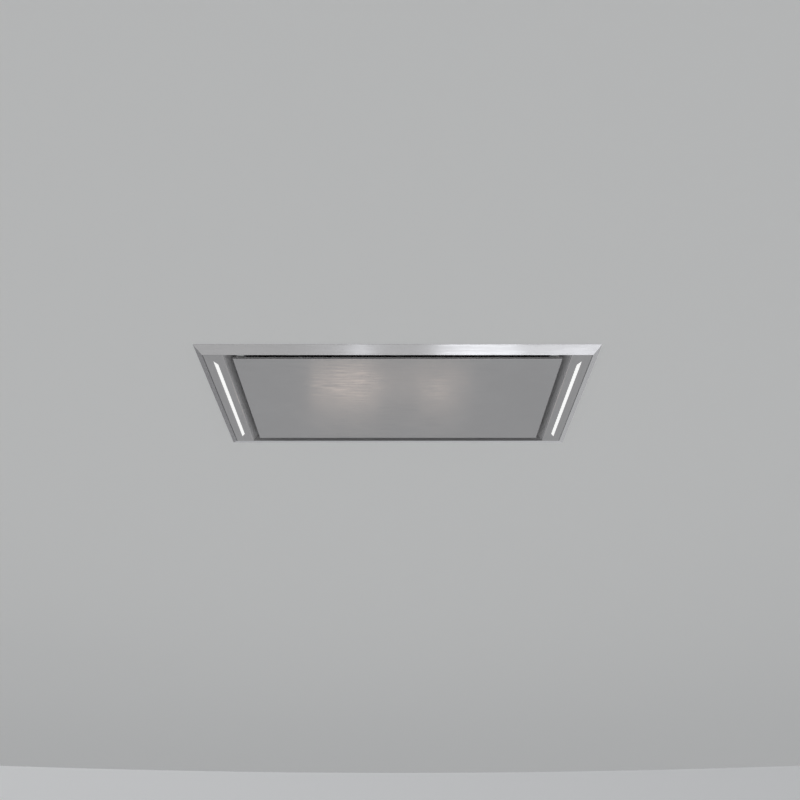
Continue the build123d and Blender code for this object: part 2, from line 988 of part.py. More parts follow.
outlet_width = scroll_end - tongue_y
outlet_length = scroll_length - 2 * scroll_wall
with BuildPart() as chamber_lid:
    skirt_width = chamber_width + 2 * case_sheet
    skirt_depth = chamber_depth + 2 * case_sheet
    bar(0, 0, chamber_top - lid_skirt, skirt_width, skirt_depth, lid_skirt + case_sheet)
    bar(0, 0, chamber_top - lid_skirt, chamber_width, chamber_depth, lid_skirt, Mode.SUBTRACT)
    bar(0, outlet_y, chamber_top, outlet_length, outlet_width, case_sheet, Mode.SUBTRACT)
    screw_holes(duct_screws, chamber_top, case_sheet)
chamber_lid.part.label = "chamber_lid"
export_step(chamber_lid.part, "parts/chamber_lid.step")


# ---------------------------------------------------------------- scroll


def scroll_outline(wall):
    """Spiral whose radius grows steadily from the tongue round to the outlet channel."""
    steps = 20
    sweep_angle = 360 - tongue_angle
    points = []
    for k in range(steps + 1):
        share = k / steps
        radius = scroll_start + (scroll_end - scroll_start) * share + wall
        angle = radians(tongue_angle + sweep_angle * share)
        points.append((axis_y + radius * cos(angle), axis_z + radius * sin(angle)))
    channel = outlet_width + 2 * wall
    with BuildSketch(Plane.YZ) as outline:
        with BuildLine():
            spiral = Spline(*points)
            Line(spiral @ 1, spiral @ 0)
        make_face()
        with Locations((axis_y + tongue_y - wall + channel / 2, axis_z + axis_drop / 2)):
            Rectangle(channel, axis_drop)
    return outline.sketch


def scroll_half(side):
    """One moulded half of the scroll, with its side wall, inlet hole and outlet flange."""
    half = scroll_length / 2
    with BuildPart() as shell:
        extrude(scroll_outline(scroll_wall), amount=half)
        bar(
            (half + scroll_flange) / 2,
            outlet_y,
            chamber_top - scroll_flange_sheet,
            half + scroll_flange,
            outlet_width + 2 * scroll_wall + 2 * scroll_flange,
            scroll_flange_sheet,
        )
        extrude(scroll_outline(0), amount=half - scroll_wall, mode=Mode.SUBTRACT)
        disc_x(0, axis_y, axis_z, inlet_radius + inlet_sleeve, half, Mode.SUBTRACT)
    if side > 0:
        return shell
    with BuildPart() as mirrored:
        mirror(shell.part, about=Plane.YZ)
    return mirrored


scroll_left = scroll_half(-1)
scroll_left.part.label = "scroll_left"
export_step(scroll_left.part, "parts/scroll_left.step")

scroll_right = scroll_half(1)
scroll_right.part.label = "scroll_right"
export_step(scroll_right.part, "parts/scroll_right.step")

with BuildPart() as inlet_rings:
    wall_face = scroll_length / 2
    disc_x(wall_face, axis_y, axis_z, inlet_flange, inlet_sleeve)
    disc_x(wall_face - inlet_depth, axis_y, axis_z, inlet_radius + inlet_sleeve, inlet_depth)
    disc_x(
        wall_face - inlet_depth,
        axis_y,
        axis_z,
        inlet_radius,
        inlet_depth + inlet_sleeve,
        Mode.SUBTRACT,
    )
    mirror(about=Plane.YZ)
inlet_rings.part.label = "inlet_rings"
export_step(inlet_rings.part, "parts/inlet_rings.step")

# ---------------------------------------------------------------- impeller and motor

blade_inner = impeller_radius - blade_depth


def blade_cage(start):
    """Forward-curved blades on a circle: thin arcs from the inner to the outer edge of the cage."""
    lean = radians(blade_lean)
    outer = impeller_radius - blade_recess
    root = (blade_inner, 0)
    belly = (blade_inner + blade_depth / 2, -blade_depth / 4 * sin(lean))
    tip = (outer * cos(lean / 3), outer * sin(lean / 3))
    with BuildSketch() as blade:
        with BuildLine():
            ThreePointArc(root, belly, tip)
            offset(amount=blade_sheet, side=Side.LEFT)
        make_face()
    plane = Plane((start, axis_y, axis_z), x_dir=(0, 1, 0), z_dir=(1, 0, 0))
    with BuildSketch(plane) as cage:
        with PolarLocations(0, blade_count):
            add(blade.sketch)
    return cage.sketch


with BuildPart() as impeller:
    extrude(blade_cage(-impeller_length / 2), amount=impeller_length)
    for start in (-impeller_length / 2, impeller_length / 2 - end_ring):
        disc_x(start, axis_y, axis_z, impeller_radius, end_ring)
        disc_x(start, axis_y, axis_z, blade_inner, end_ring, Mode.SUBTRACT)
    disc_x(-disc_sheet / 2, axis_y, axis_z, impeller_radius - blade_recess, disc_sheet)
    disc_x(-hub_length / 2, axis_y, axis_z, hub_radius, hub_length)
    disc_x(-hub_length / 2, axis_y, axis_z, shaft_radius, hub_length, Mode.SUBTRACT)
impeller.part.label = "impeller"
export_step(impeller.part, "parts/impeller.step")

motor_end = -motor_start - motor_length
boss_radius = bearing_radius + bearing_boss
bearing_starts = (motor_end + motor_wall, -motor_start - motor_wall - bearing_width)
with BuildPart() as motor_can:
    disc_x(motor_end, axis_y, axis_z, motor_radius, motor_length)
    room = motor_length - 2 * motor_wall
    disc_x(motor_end + motor_wall, axis_y, axis_z, motor_radius - motor_wall, room, Mode.SUBTRACT)
    for start in bearing_starts:
        disc_x(start, axis_y, axis_z, boss_radius, bearing_width)
        disc_x(start, axis_y, axis_z, bearing_radius, bearing_width, Mode.SUBTRACT)
    disc_x(-motor_start - motor_wall, axis_y, axis_z, 2 * shaft_radius, motor_wall, Mode.SUBTRACT)
motor_can.part.label = "motor_can"
export_step(motor_can.part, "parts/motor_can.step")

with BuildPart() as motor_bearings:
    for start in bearing_starts:
        disc_x(start, axis_y, axis_z, bearing_radius, bearing_width)
        disc_x(start, axis_y, axis_z, shaft_radius + running_gap, bearing_width, Mode.SUBTRACT)
motor_bearings.part.label = "motor_bearings"
export_step(motor_bearings.part, "parts/motor_bearings.step")

shaft_start = motor_end + motor_wall + motor_wall / 2
with BuildPart() as motor_shaft:
    disc_x(shaft_start, axis_y, axis_z, shaft_radius, hub_length / 2 - shaft_start)
motor_shaft.part.label = "motor_shaft"
export_step(motor_shaft.part, "parts/motor_shaft.step")

stator_start = -motor_start - motor_length / 2 - stator_length / 2
stator_radius = motor_radius - motor_wall
with BuildPart() as motor_stator:
    disc_x(stator_start, axis_y, axis_z, stator_radius, stator_length)
    disc_x(stator_start, axis_y, axis_z, stator_bore, stator_length, Mode.SUBTRACT)
    slot_circle = (winding_inner + winding_outer) / 2
    for k in range(slot_count):
        angle = 2 * pi * k / slot_count
        disc_x(
            stator_start,
            axis_y + slot_circle * cos(angle),
            axis_z + slot_circle * sin(angle),
            slot_radius,
            stator_length,
            Mode.SUBTRACT,
        )
motor_stator.part.label = "motor_stator"
export_step(motor_stator.part, "parts/motor_stator.step")

with BuildPart() as motor_windings:
    for start in (stator_start - winding_depth, stator_start + stator_length):
        disc_x(start, axis_y, axis_z, winding_outer, winding_depth)
        disc_x(start, axis_y, axis_z, winding_inner, winding_depth, Mode.SUBTRACT)
    fillet(motor_windings.edges().filter_by(GeomType.CIRCLE), radius=winding_depth / 4)
motor_windings.part.label = "motor_windings"
export_step(motor_windings.part, "parts/motor_windings.step")

with BuildPart() as motor_rotor:
    disc_x(stator_start, axis_y, axis_z, stator_bore - rotor_gap, stator_length)
    disc_x(stator_start, axis_y, axis_z, shaft_radius, stator_length, Mode.SUBTRACT)
motor_rotor.part.label = "motor_rotor"
export_step(motor_rotor.part, "parts/motor_rotor.step")

mount_face = -scroll_length / 2 - mount_height
mount_plane = Plane((mount_face, axis_y, axis_z), x_dir=(0, 1, 0), z_dir=(1, 0, 0))
with BuildPart() as rubber_mounts:
    with BuildSketch(mount_plane):
        with PolarLocations(mount_circle_radius, mount_count, start_angle=90):
            Circle(mount_radius)
    extrude(amount=mount_height)
rubber_mounts.part.label = "rubber_mounts"
export_step(rubber_mounts.part, "parts/rubber_mounts.step")

bracket_plane = Plane((mount_face - bracket_sheet, axis_y, axis_z), x_dir=(0, 1, 0), z_dir=(1, 0, 0))
with BuildPart() as motor_bracket:
    with BuildSketch(bracket_plane):
        with PolarLocations(mount_circle_radius / 2, mount_count, start_angle=90):
            Rectangle(mount_circle_radius, bracket_arm)
        with PolarLocations(mount_circle_radius, mount_count, start_angle=90):
            Circle(bracket_arm / 2)
    extrude(amount=bracket_sheet)
    disc_x(mount_face - bracket_ring, axis_y, axis_z, motor_radius + bracket_sheet, bracket_ring)
    disc_x(
        mount_face - bracket_ring,
        axis_y,
        axis_z,
        motor_radius,
        bracket_ring + bracket_sheet,
        Mode.SUBTRACT,
    )
motor_bracket.part.label = "motor_bracket"
export_step(motor_bracket.part, "parts/motor_bracket.step")

# ---------------------------------------------------------------- duct outlet and check flaps

flap_z = lid_top + flap_level
duct_bore = duct_radius - duct_wall
ledge_z = flap_z - flap_sheet / 2 - flap_ledge_height
with BuildPart() as outlet_spigot:
    with BuildSketch(Plane.XY.offset(lid_top)):
        with Locations((0, outlet_y)):
            RectangleRounded(duct_plate, duct_plate, duct_plate_corner)
    extrude(amount=duct_plate_sheet)
    with BuildSketch(Plane.XY.offset(lid_top)):
        with Locations((0, outlet_y)):
            Circle(duct_radius)
    extrude(amount=duct_height + duct_plate_sheet)
    with BuildSketch(Plane.XY.offset(lid_top)):
        with Locations((0, outlet_y)):
            Circle(duct_bore)
    extrude(amount=duct_height + duct_plate_sheet, mode=Mode.SUBTRACT)
    with BuildSketch(Plane.XY.offset(ledge_z)):
        with Locations((0, outlet_y)):
            Circle(duct_bore)
            Circle(duct_bore - flap_ledge, mode=Mode.SUBTRACT)
    extrude(amount=flap_ledge_height)
    screw_holes(duct_screws, lid_top, duct_plate_sheet)
    disc_x(-duct_radius, outlet_y, flap_z, flap_pin_radius, 2 * duct_radius, Mode.SUBTRACT)
    # room for the knuckles where they pass the ledge
    disc_x(
        -duct_bore,
        outlet_y,
        flap_z,
        flap_knuckle + flap_clearance,
        2 * duct_bore,
        Mode.SUBTRACT,
    )
outlet_spigot.part.label = "outlet_spigot"
export_step(outlet_spigot.part, "parts/outlet_spigot.step")

with BuildPart() as flap_pin:
    disc_x(-duct_radius, outlet_y, flap_z, flap_pin_radius, 2 * duct_radius)
flap_pin.part.label = "flap_pin"
export_step(flap_pin.part, "parts/flap_pin.step")

flap_radius = duct_bore - flap_gap
knuckle_span = 2 * (flap_radius - flap_ledge - flap_end_gap)
knuckle_pitch = knuckle_span / flap_knuckles


def check_flap(side):
    """Half disc that hangs on every other knuckle of the pin; side is -1 front, 1 rear."""
    own = [k for k in range(flap_knuckles) if (k % 2 == 0) == (side < 0)]
    with BuildPart() as flap:
        with BuildSketch(Plane.XY.offset(flap_z - flap_sheet / 2)):
            with Locations((0, outlet_y)):
                Circle(flap_radius)
            with Locations((0, outlet_y - side * (flap_radius - flap_knuckle - flap_clearance) / 2)):
                Rectangle(
                    2 * duct_radius,
                    flap_radius + flap_knuckle + flap_clearance,
                    mode=Mode.SUBTRACT,
                )
        extrude(amount=flap_sheet)
        for k in own:
            start = -knuckle_span / 2 + k * knuckle_pitch + flap_knuckle_gap / 2
            width = knuckle_pitch - flap_knuckle_gap
            disc_x(start, outlet_y, flap_z, flap_knuckle, width)
            reach = flap_knuckle + flap_clearance + flap_sheet
            bar(
                start + width / 2,
                outlet_y + side * reach / 2,
                flap_z - flap_sheet / 2,
                width,
                reach,
                flap_sheet,
            )
            disc_x(
                start,
                outlet_y,
                flap_z,
                flap_pin_radius + running_gap,
                width,
                Mode.SUBTRACT,
            )
    return flap


check_flap_front = check_flap(-1)
check_flap_front.part.label = "check_flap_front"
export_step(check_flap_front.part, "parts/check_flap_front.step")

check_flap_rear = check_flap(1)
check_flap_rear.part.label = "check_flap_rear"
export_step(check_flap_rear.part, "parts/check_flap_rear.step")

# ---------------------------------------------------------------- control box

control_end = control_x - control_length / 2
inner_floor = case_top + control_sheet
inner_length = control_length - 2 * control_sheet
inner_width = control_width - 2 * control_sheet
board_middle_x = control_x + board_shift_x
board_middle_y = control_y + board_shift_y
standoff_x = board_x / 2 - standoff_inset
standoff_y = board_y / 2 - standoff_inset
with BuildPart() as control_box:
    bar(control_x, control_y, case_top, control_length, control_width, control_height)
    bar(
        control_x,
        control_y,
        inner_floor,
        inner_length,
        inner_width,
        control_height,
        Mode.SUBTRACT,
    )
    with Locations((board_middle_x, board_middle_y, inner_floor)):
        with GridLocations(2 * standoff_x, 2 * standoff_y, 2, 2):
            Cylinder(
                standoff_radius,
                standoff_height,
                align=(Align.CENTER, Align.CENTER, Align.MIN),
            )
    disc_x(control_end, control_y, lead_z, gland_body, control_sheet, Mode.SUBTRACT)
    disc_x(
        control_end + control_length - control_sheet,
        lead_y,
        lead_z,
        lead_radius + lead_gap,
        control_sheet,
        Mode.SUBTRACT,
    )
control_box.part.label = "control_box"
export_step(control_box.part, "parts/control_box.step")

control_top = case_top + control_height
with BuildPart() as control_lid:
    outer_length = control_length + 2 * control_sheet
    outer_width = control_width + 2 * control_sheet
    bar(
        control_x,
        control_y,
        control_top - control_skirt,
        outer_length,
        outer_width,
        control_skirt + control_sheet,
    )
    bar(
        control_x,
        control_y,
        control_top - control_skirt,
        control_length,
        control_width,
        control_skirt,
        Mode.SUBTRACT,
    )
control_lid.part.label = "control_lid"
export_step(control_lid.part, "parts/control_lid.step")

board_floor = inner_floor + standoff_height
board_top = board_floor + board_sheet
with BuildPart() as control_board:
    bar(board_middle_x, board_middle_y, board_floor, board_x, board_y, board_sheet)
    for k in range(relay_count):
        this_x = board_middle_x + relay_x + relay_pitch * k
        bar(this_x, board_middle_y + relay_y, board_top, *relay_size)
    transformer_at = (board_middle_x + transformer_x, board_middle_y + transformer_y)
    bar(*transformer_at, board_top, *transformer_size)
    controller_at = (board_middle_x + controller_x, board_middle_y + controller_y)
    bar(*controller_at, board_top, *controller_size)
control_board.part.label = "control_board"
export_step(control_board.part, "parts/control_board.step")

with BuildPart() as terminal_block:
    block_x = control_end + control_sheet + terminal_inset
    block_y = control_y + terminal_inset
    block_length = terminal_poles * terminal_pitch
    bar(block_x, block_y, inner_floor, terminal_width, block_length, terminal_height)
    for k in range(terminal_poles):
        pole_y = block_y + (k - (terminal_poles - 1) / 2) * terminal_pitch
        for side in SIDES:
            hole_x = block_x + side * terminal_width / 4
            with Locations((hole_x, pole_y, inner_floor + terminal_height)):
                Cylinder(terminal_hole, 2 * terminal_hole_depth, mode=Mode.SUBTRACT)
terminal_block.part.label = "terminal_block"
export_step(terminal_block.part, "parts/terminal_block.step")

with BuildPart() as run_capacitor:
    disc_x(
        board_middle_x,
        control_y - inner_width / 2 + capacitor_radius + capacitor_gap,
        inner_floor + capacitor_radius,
        capacitor_radius,
        capacitor_length,
    )
    fillet(run_capacitor.edges().filter_by(GeomType.CIRCLE), radius=capacitor_bend)
run_capacitor.part.label = "run_capacitor"
export_step(run_capacitor.part, "parts/run_capacitor.step")

with BuildPart() as led_driver:
    driver_y = control_y - inner_width / 2 + driver_gap + driver_width / 2
    driver_x = control_x - driver_shift
    bar(driver_x, driver_y, inner_floor, driver_length, driver_width, driver_height)
    fillet(led_driver.edges().filter_by(Axis.Z), radius=driver_corner)
led_driver.part.label = "led_driver"
export_step(led_driver.part, "parts/led_driver.step")

with BuildPart() as cable_gland:
    nut_start = control_end - gland_nut_length
    hexagon = Plane((nut_start, control_y, lead_z), x_dir=(0, 1, 0), z_dir=(1, 0, 0))
    with BuildSketch(hexagon):
        RegularPolygon(gland_nut, 6)
    extrude(amount=gland_nut_length)
    dome_start = nut_start - gland_dome
    disc_x(dome_start, control_y, lead_z, gland_body + gland_dome_lap, gland_dome)
    fillet(cable_gland.edges().group_by(Axis.X)[0], radius=gland_bend)
    disc_x(control_end, control_y, lead_z, gland_body, control_sheet)
    inner_nut = Plane(
        (control_end + control_sheet, control_y, lead_z), x_dir=(0, 1, 0), z_dir=(1, 0, 0)
    )
    with BuildSketch(inner_nut):
        RegularPolygon(gland_nut, 6)
    extrude(amount=gland_nut_length)
    bore_length = gland_dome + 2 * gland_nut_length + control_sheet
    disc_x(dome_start, control_y, lead_z, gland_bore, bore_length, Mode.SUBTRACT)
cable_gland.part.label = "cable_gland"
export_step(cable_gland.part, "parts/cable_gland.step")

# Sheathed lead from the control box through the chamber wall to the motor's end.
lead_start = control_end + control_length - control_sheet - lead_inside
motor_lead_z = axis_z - motor_radius / 2
with BuildPart() as motor_lead:
    with BuildLine() as lead_path:
        FilletPolyline(
            (lead_start, lead_y, lead_z),
            (motor_end - lead_bend - lead_run, lead_y, lead_z),
            (motor_end - lead_bend, lead_y, motor_lead_z),
            (motor_end, lead_y, motor_lead_z),
            radius=lead_bend,
        )
    with BuildSketch(Plane((lead_start, lead_y, lead_z), z_dir=(1, 0, 0))):
        Circle(lead_radius)
    sweep(path=lead_path.line)
motor_lead.part.label = "motor_lead"
export_step(motor_lead.part, "parts/motor_lead.step")

# ---------------------------------------------------------------- hangers and screws

with BuildPart() as hanger_brackets:
    for sx in SIDES:
        for sy in SIDES:
            riser = sy * (hanger_y - hanger_ear / 2)
            bar(
                sx * hanger_x,
                riser - sy * (hanger_foot / 2 - hanger_sheet / 2),
                case_top,
                hanger_width,
                hanger_foot,
                hanger_sheet,
            )
            bar(sx * hanger_x, riser, case_top, hanger_width, hanger_sheet, hanger_height)
            ear_top = case_top + hanger_height
            bar(
                sx * hanger_x,
                riser + sy * (hanger_ear / 2 - hanger_sheet / 2),
                ear_top - hanger_sheet,
                hanger_width,
                hanger_ear,
                hanger_sheet,
            )
    with Locations((0, 0, case_top + hanger_height)):
        with GridLocations(2 * hanger_x, 2 * hanger_y, 2, 2):
            Hole(hanger_hole, depth=2 * hanger_sheet)
hanger_brackets.part.label = "hanger_brackets"
export_step(hanger_brackets.part, "parts/hanger_brackets.step")

with BuildPart() as case_screws:
    for x, y in chamber_screws:
        pan_screw(x, y, case_top + case_sheet)
    for x, y in duct_screws:
        pan_screw(x, y, lid_top + duct_plate_sheet)
case_screws.part.label = "case_screws"
export_step(case_screws.part, "parts/case_screws.step")

with BuildPart() as light_panel_screws:
    for x, y in light_screws:
        with Locations((x, y, rail_level - trim_sheet)):
            Cylinder(
                small_head, screw_head_height, align=(Align.CENTER, Align.CENTER, Align.MAX)
            )
            Cylinder(screw_radius, small_shank, align=(Align.CENTER, Align.CENTER, Align.MIN))
light_panel_screws.part.label = "light_panel_screws"
export_step(light_panel_screws.part, "parts/light_panel_screws.step")
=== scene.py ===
from math import pi, radians

import bpy
import numpy as np
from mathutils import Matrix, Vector


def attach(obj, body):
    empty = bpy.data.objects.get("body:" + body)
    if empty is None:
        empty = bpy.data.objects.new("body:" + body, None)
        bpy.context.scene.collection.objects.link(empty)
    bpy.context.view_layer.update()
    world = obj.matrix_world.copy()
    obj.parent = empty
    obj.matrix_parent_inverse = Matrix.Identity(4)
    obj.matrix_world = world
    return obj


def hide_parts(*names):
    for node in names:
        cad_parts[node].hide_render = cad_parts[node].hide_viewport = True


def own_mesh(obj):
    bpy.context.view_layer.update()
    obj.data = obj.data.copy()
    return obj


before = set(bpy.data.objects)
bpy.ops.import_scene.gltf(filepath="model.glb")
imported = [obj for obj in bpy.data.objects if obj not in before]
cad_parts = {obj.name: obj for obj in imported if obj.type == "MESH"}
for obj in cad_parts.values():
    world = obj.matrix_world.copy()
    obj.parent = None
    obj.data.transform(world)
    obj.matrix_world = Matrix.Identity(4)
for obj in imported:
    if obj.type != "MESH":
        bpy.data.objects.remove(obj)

# Looks of the ceiling range hood: the camera, the stage, the finishes, and the fine pieces that
# the solids leave plain. Metres, in the solids' frame: origin in the middle of the hood on the
# ceiling, +X along its long side, -Y towards the cook, +Z up.

scene = bpy.context.scene
scene.view_settings.view_transform = "Standard"
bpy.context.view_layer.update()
MM = 0.001

# ---------------------------------------------------------------- sizes shared with the solids

HOOD_WIDTH, HOOD_DEPTH = 0.900, 0.500
BEVEL_FRONT, BEVEL_SIDE = 0.030, 0.015
UNDERSIDE, TRIM_SHEET = -0.009, 0.0012
NEAR_BEVEL_Y = -(HOOD_DEPTH - BEVEL_FRONT) / 2
CASE_HOLE = (0.850, 0.470)

FILTER_PITCH = 0.239
FILTER_PLACES = (-FILTER_PITCH, 0.0, FILTER_PITCH)
PAD_WIDTH, PAD_DEPTH = 0.2214, 0.4034
PAD_MIDDLE, PAD_LEVEL, PAD_SWING = 0.007, 0.0255, 0.0024
PAD_SHEET, HALF_FOLDS = 0.001, 54
POCKET_HALF, POCKET_REAR = 0.0275, -0.162

SPRING_START, SPRING_END, SPRING_LEVEL = -0.1815, -0.1665, 0.026
SPRING_RADIUS, SPRING_WIRE = 0.0017, 0.0003

CHAMBER_SCREWS = [(sx * 0.176, sy * 0.100, 0.096) for sx in (-1, 1) for sy in (-1, 1)]
CHAMBER_SCREWS += [(sx * 0.120, sy * 0.151, 0.096) for sx in (-1, 1) for sy in (-1, 1)]
DUCT_SCREWS = [(sx * 0.080, 0.045 + sy * 0.080, 0.294) for sx in (-1, 1) for sy in (-1, 1)]
PANEL_SCREWS = [(sx * 0.3655, sy * 0.212, 0.0188) for sx in (-1, 1) for sy in (-1, 1)]
SEAM_X, WALL_Y = 0.408, 0.2295

# ---------------------------------------------------------------- camera

CAMERA_PLACE = (0.0054, -1.7578, -0.9578)
CAMERA_PITCH = 28.5
SENSOR_WIDTH, FOCAL_LENGTH = 36.0, 36.504


def photo_camera():
    """The photograph's view: below the ceiling, in front of the hood, pitched up."""
    lens = bpy.data.cameras.new("photo_camera")
    lens.sensor_width = SENSOR_WIDTH
    lens.lens = FOCAL_LENGTH
    camera = bpy.data.objects.new("photo_camera", lens)
    camera.location = CAMERA_PLACE
    camera.rotation_euler = (radians(90 + CAMERA_PITCH), 0, 0)
    scene.collection.objects.link(camera)
    scene.camera = camera


photo_camera()

# ---------------------------------------------------------------- node helpers


def even(value):
    """The same value three times, as a grey or an even scale."""
    return (value, value, value)


def finish(name, colour, metallic, roughness):
    """A new material with its plain values on the shader's own sockets."""
    material = bpy.data.materials.new(name)
    material.use_nodes = True
    shader = material.node_tree.nodes["Principled BSDF"]
    shader.inputs["Base Color"].default_value = (*colour, 1)
    shader.inputs["Metallic"].default_value = metallic
    shader.inputs["Roughness"].default_value = roughness
    return material, material.node_tree, shader


def place(tree, scale=(1, 1, 1), turn=(0, 0, 0)):
    """The piece's own coordinates, turned and stretched by a Mapping node."""
    source = tree.nodes.new("ShaderNodeTexCoord")
    mapping = tree.nodes.new("ShaderNodeMapping")
    mapping.inputs["Scale"].default_value = scale
    mapping.inputs["Rotation"].default_value = turn
    tree.links.new(source.outputs["Object"], mapping.inputs["Vector"])
    return mapping.outputs["Vector"]


def noise(tree, scale, detail, rough=0.5):
    """Fractal noise from 0 to 1, with its own frequency per metre along X, Y and Z."""
    node = tree.nodes.new("ShaderNodeTexNoise")
    node.inputs["Scale"].default_value = 1.0
    node.inputs["Detail"].default_value = detail
    node.inputs["Roughness"].default_value = rough
    tree.links.new(place(tree, scale), node.inputs["Vector"])
    return node.outputs["Fac"]


def cell_colours(tree, scale):
    """Voronoi cells of the given frequency per metre, each with its own random colour."""
    node = tree.nodes.new("ShaderNodeTexVoronoi")
    node.inputs["Scale"].default_value = 1.0
    tree.links.new(place(tree, even(scale)), node.inputs["Vector"])
    return node.outputs["Color"]


def calculate(tree, operation, first, second=None):
    """One Math node; each argument is a socket or a number."""
    node = tree.nodes.new("ShaderNodeMath")
    node.operation = operation
    for socket, value in zip(node.inputs, (first, second)):
        if value is None:
            continue
        if isinstance(value, (int, float)):
            socket.default_value = value
        else:
            tree.links.new(value, socket)
    return node.outputs[0]


def two_products(tree, first, first_factor, second, second_factor):
    """The sum of two products; each argument is a socket or a number."""
    one = calculate(tree, "MULTIPLY", first, first_factor)
    other = calculate(tree, "MULTIPLY", second, second_factor)
    return calculate(tree, "ADD", one, other)


def spread(tree, value, low, high, start=0.0, end=1.0):
    """The value's range from start to end, mapped to low to high and held there."""
    node = tree.nodes.new("ShaderNodeMapRange")
    tree.links.new(value, node.inputs["Value"])
    ends = {"From Min": start, "From Max": end, "To Min": low, "To Max": high}
    for name, number in ends.items():
        node.inputs[name].default_value = number
    return node.outputs["Result"]


def tint(tree, value, dark, light, start=0.3, end=0.7):
    """A colour that goes from dark to light as the value goes from start to end."""
    ramp = tree.nodes.new("ShaderNodeValToRGB")
    ramp.color_ramp.elements[0].position = start
    ramp.color_ramp.elements[1].position = end
    ramp.color_ramp.elements[0].color = (*dark, 1)
    ramp.color_ramp.elements[1].color = (*light, 1)
    tree.links.new(value, ramp.inputs["Fac"])
    return ramp.outputs["Color"]


def multiply_colours(tree, first, second):
    """Two colour sockets multiplied."""
    node = tree.nodes.new("ShaderNodeMix")
    node.data_type = "RGBA"
    node.blend_type = "MULTIPLY"
    node.inputs[0].default_value = 1.0
    tree.links.new(first, node.inputs[6])
    tree.links.new(second, node.inputs[7])
    return node.outputs[2]


def feed(shader, name, value):
    """Links a value to one of the shader's sockets."""
    shader.id_data.links.new(value, shader.inputs[name])


def relief(tree, shader, height, depth, strength=1.0):
    """Bump of the given depth in metres."""
    bump = tree.nodes.new("ShaderNodeBump")
    bump.inputs["Distance"].default_value = depth
    bump.inputs["Strength"].default_value = strength
    tree.links.new(height, bump.inputs["Height"])
    feed(shader, "Normal", bump.outputs["Normal"])


def scaled(colour, factor):
    """The colour made darker or lighter."""
    return tuple(min(1.0, channel * factor) for channel in colour)


# ---------------------------------------------------------------- finishes

STEEL = (0.478, 0.471, 0.473)


def axes_of(tree):
    """The piece's own X, Y and Z, one socket each."""
    split = tree.nodes.new("ShaderNodeSeparateXYZ")
    tree.links.new(place(tree), split.inputs[0])
    return split.outputs


def turned_up(tree):
    """0 on the flat underside, and up to 1 where the sheet turns up into a slot."""
    return spread(tree, axes_of(tree)[2], 0.0, 1.0, UNDERSIDE + 0.6 * MM, UNDERSIDE + 3.0 * MM)


def trim_lips(tree):
    """1 on the trim's lips, which stand inside its window, and 0 on its bevels."""
    axes = axes_of(tree)
    halves = HOOD_WIDTH / 2 - BEVEL_SIDE, HOOD_DEPTH / 2 - BEVEL_FRONT
    reach = 1.2 * TRIM_SHEET
    inside = [
        calculate(tree, "LESS_THAN", calculate(tree, "ABSOLUTE", axis), half + reach)
        for axis, half in zip(axes, halves)
    ]
    return calculate(tree, "MULTIPLY", turned_up(tree), calculate(tree, "MULTIPLY", *inside))


def along_grain(tree, grain, length, width, detail):
    """Noise drawn out along the grain, with features of the given length and width. The grain is
    x, y, or frame, which turns it at the trim's mitres."""
    drawn = {"x": (1 / length, 1 / width, 1 / width), "y": (1 / width, 1 / length, 1 / width)}
    if grain in drawn:
        return noise(tree, drawn[grain], detail)
    side = mitre_side(tree)
    front = calculate(tree, "SUBTRACT", 1.0, side)
    lines = {axis: noise(tree, scale, detail) for axis, scale in drawn.items()}
    return two_products(tree, lines["y"], side, lines["x"], front)


def across(tree, axis):
    """A steady tangent along one axis, so that highlights spread that way."""
    vector = tree.nodes.new("ShaderNodeCombineXYZ")
    vector.inputs[axis].default_value = 1.0
    return vector.outputs[0]


def brushed(name, grain, folds, roughness=0.14, stirred=0.065, fanned=0.0):
    """Brushed stainless: fine lines and wider streaks along the grain, in shade, gloss and height,
    and broad soft clouding. Stirred is how far the streaks move the roughness, and fanned spreads
    the highlights across the grain. Where it is folded up into the slots the sheet is duller, as
    the brush didn't reach there."""
    metallic = 0.74
    material, tree, shader = finish(name, STEEL, metallic, roughness)
    fine = along_grain(tree, grain, 55 * MM, 0.8 * MM, 3)
    streaks = along_grain(tree, grain, 60 * MM, 4.5 * MM, 3)
    lines = two_products(tree, fine, 0.6, streaks, 0.4)
    grained = tint(tree, lines, scaled(STEEL, 0.965), scaled(STEEL, 1.035), 0.36, 0.64)
    clouded = tint(tree, noise(tree, even(7.0), 3), even(0.965), even(1.0))
    feed(shader, "Base Color", multiply_colours(tree, grained, clouded))
    folded = folds(tree)
    feed(shader, "Metallic", spread(tree, folded, metallic, 0.22))
    glossed = two_products(tree, fine, 0.2, streaks, 0.8)
    gloss = spread(tree, glossed, roughness - stirred, roughness + stirred, 0.41, 0.59)
    duller = spread(tree, folded, 0.0, 0.18)
    feed(shader, "Roughness", calculate(tree, "ADD", gloss, duller))
    if fanned:
        shader.inputs["Anisotropic"].default_value = fanned
        along_x, along_y = across(tree, 0), across(tree, 1)
        feed(shader, "Tangent", blend_vectors(tree, mitre_side(tree), along_y, along_x))
    relief(tree, shader, two_products(tree, fine, 0.03, streaks, 1.0), 0.10 * MM)
    return material


def blend_vectors(tree, share, first, second):
    """Two vector sockets mixed by a share socket."""
    node = tree.nodes.new("ShaderNodeMix")
    node.data_type = "VECTOR"
    tree.links.new(share, node.inputs[0])
    tree.links.new(first, node.inputs[4])
    tree.links.new(second, node.inputs[5])
    return node.outputs[1]


def inset(tree, axis, half, bevel):
    """How far in from an outer edge a point is, over the width of that edge's bevel."""
    from_edge = calculate(tree, "SUBTRACT", half, calculate(tree, "ABSOLUTE", axis))
    return calculate(tree, "DIVIDE", from_edge, bevel)


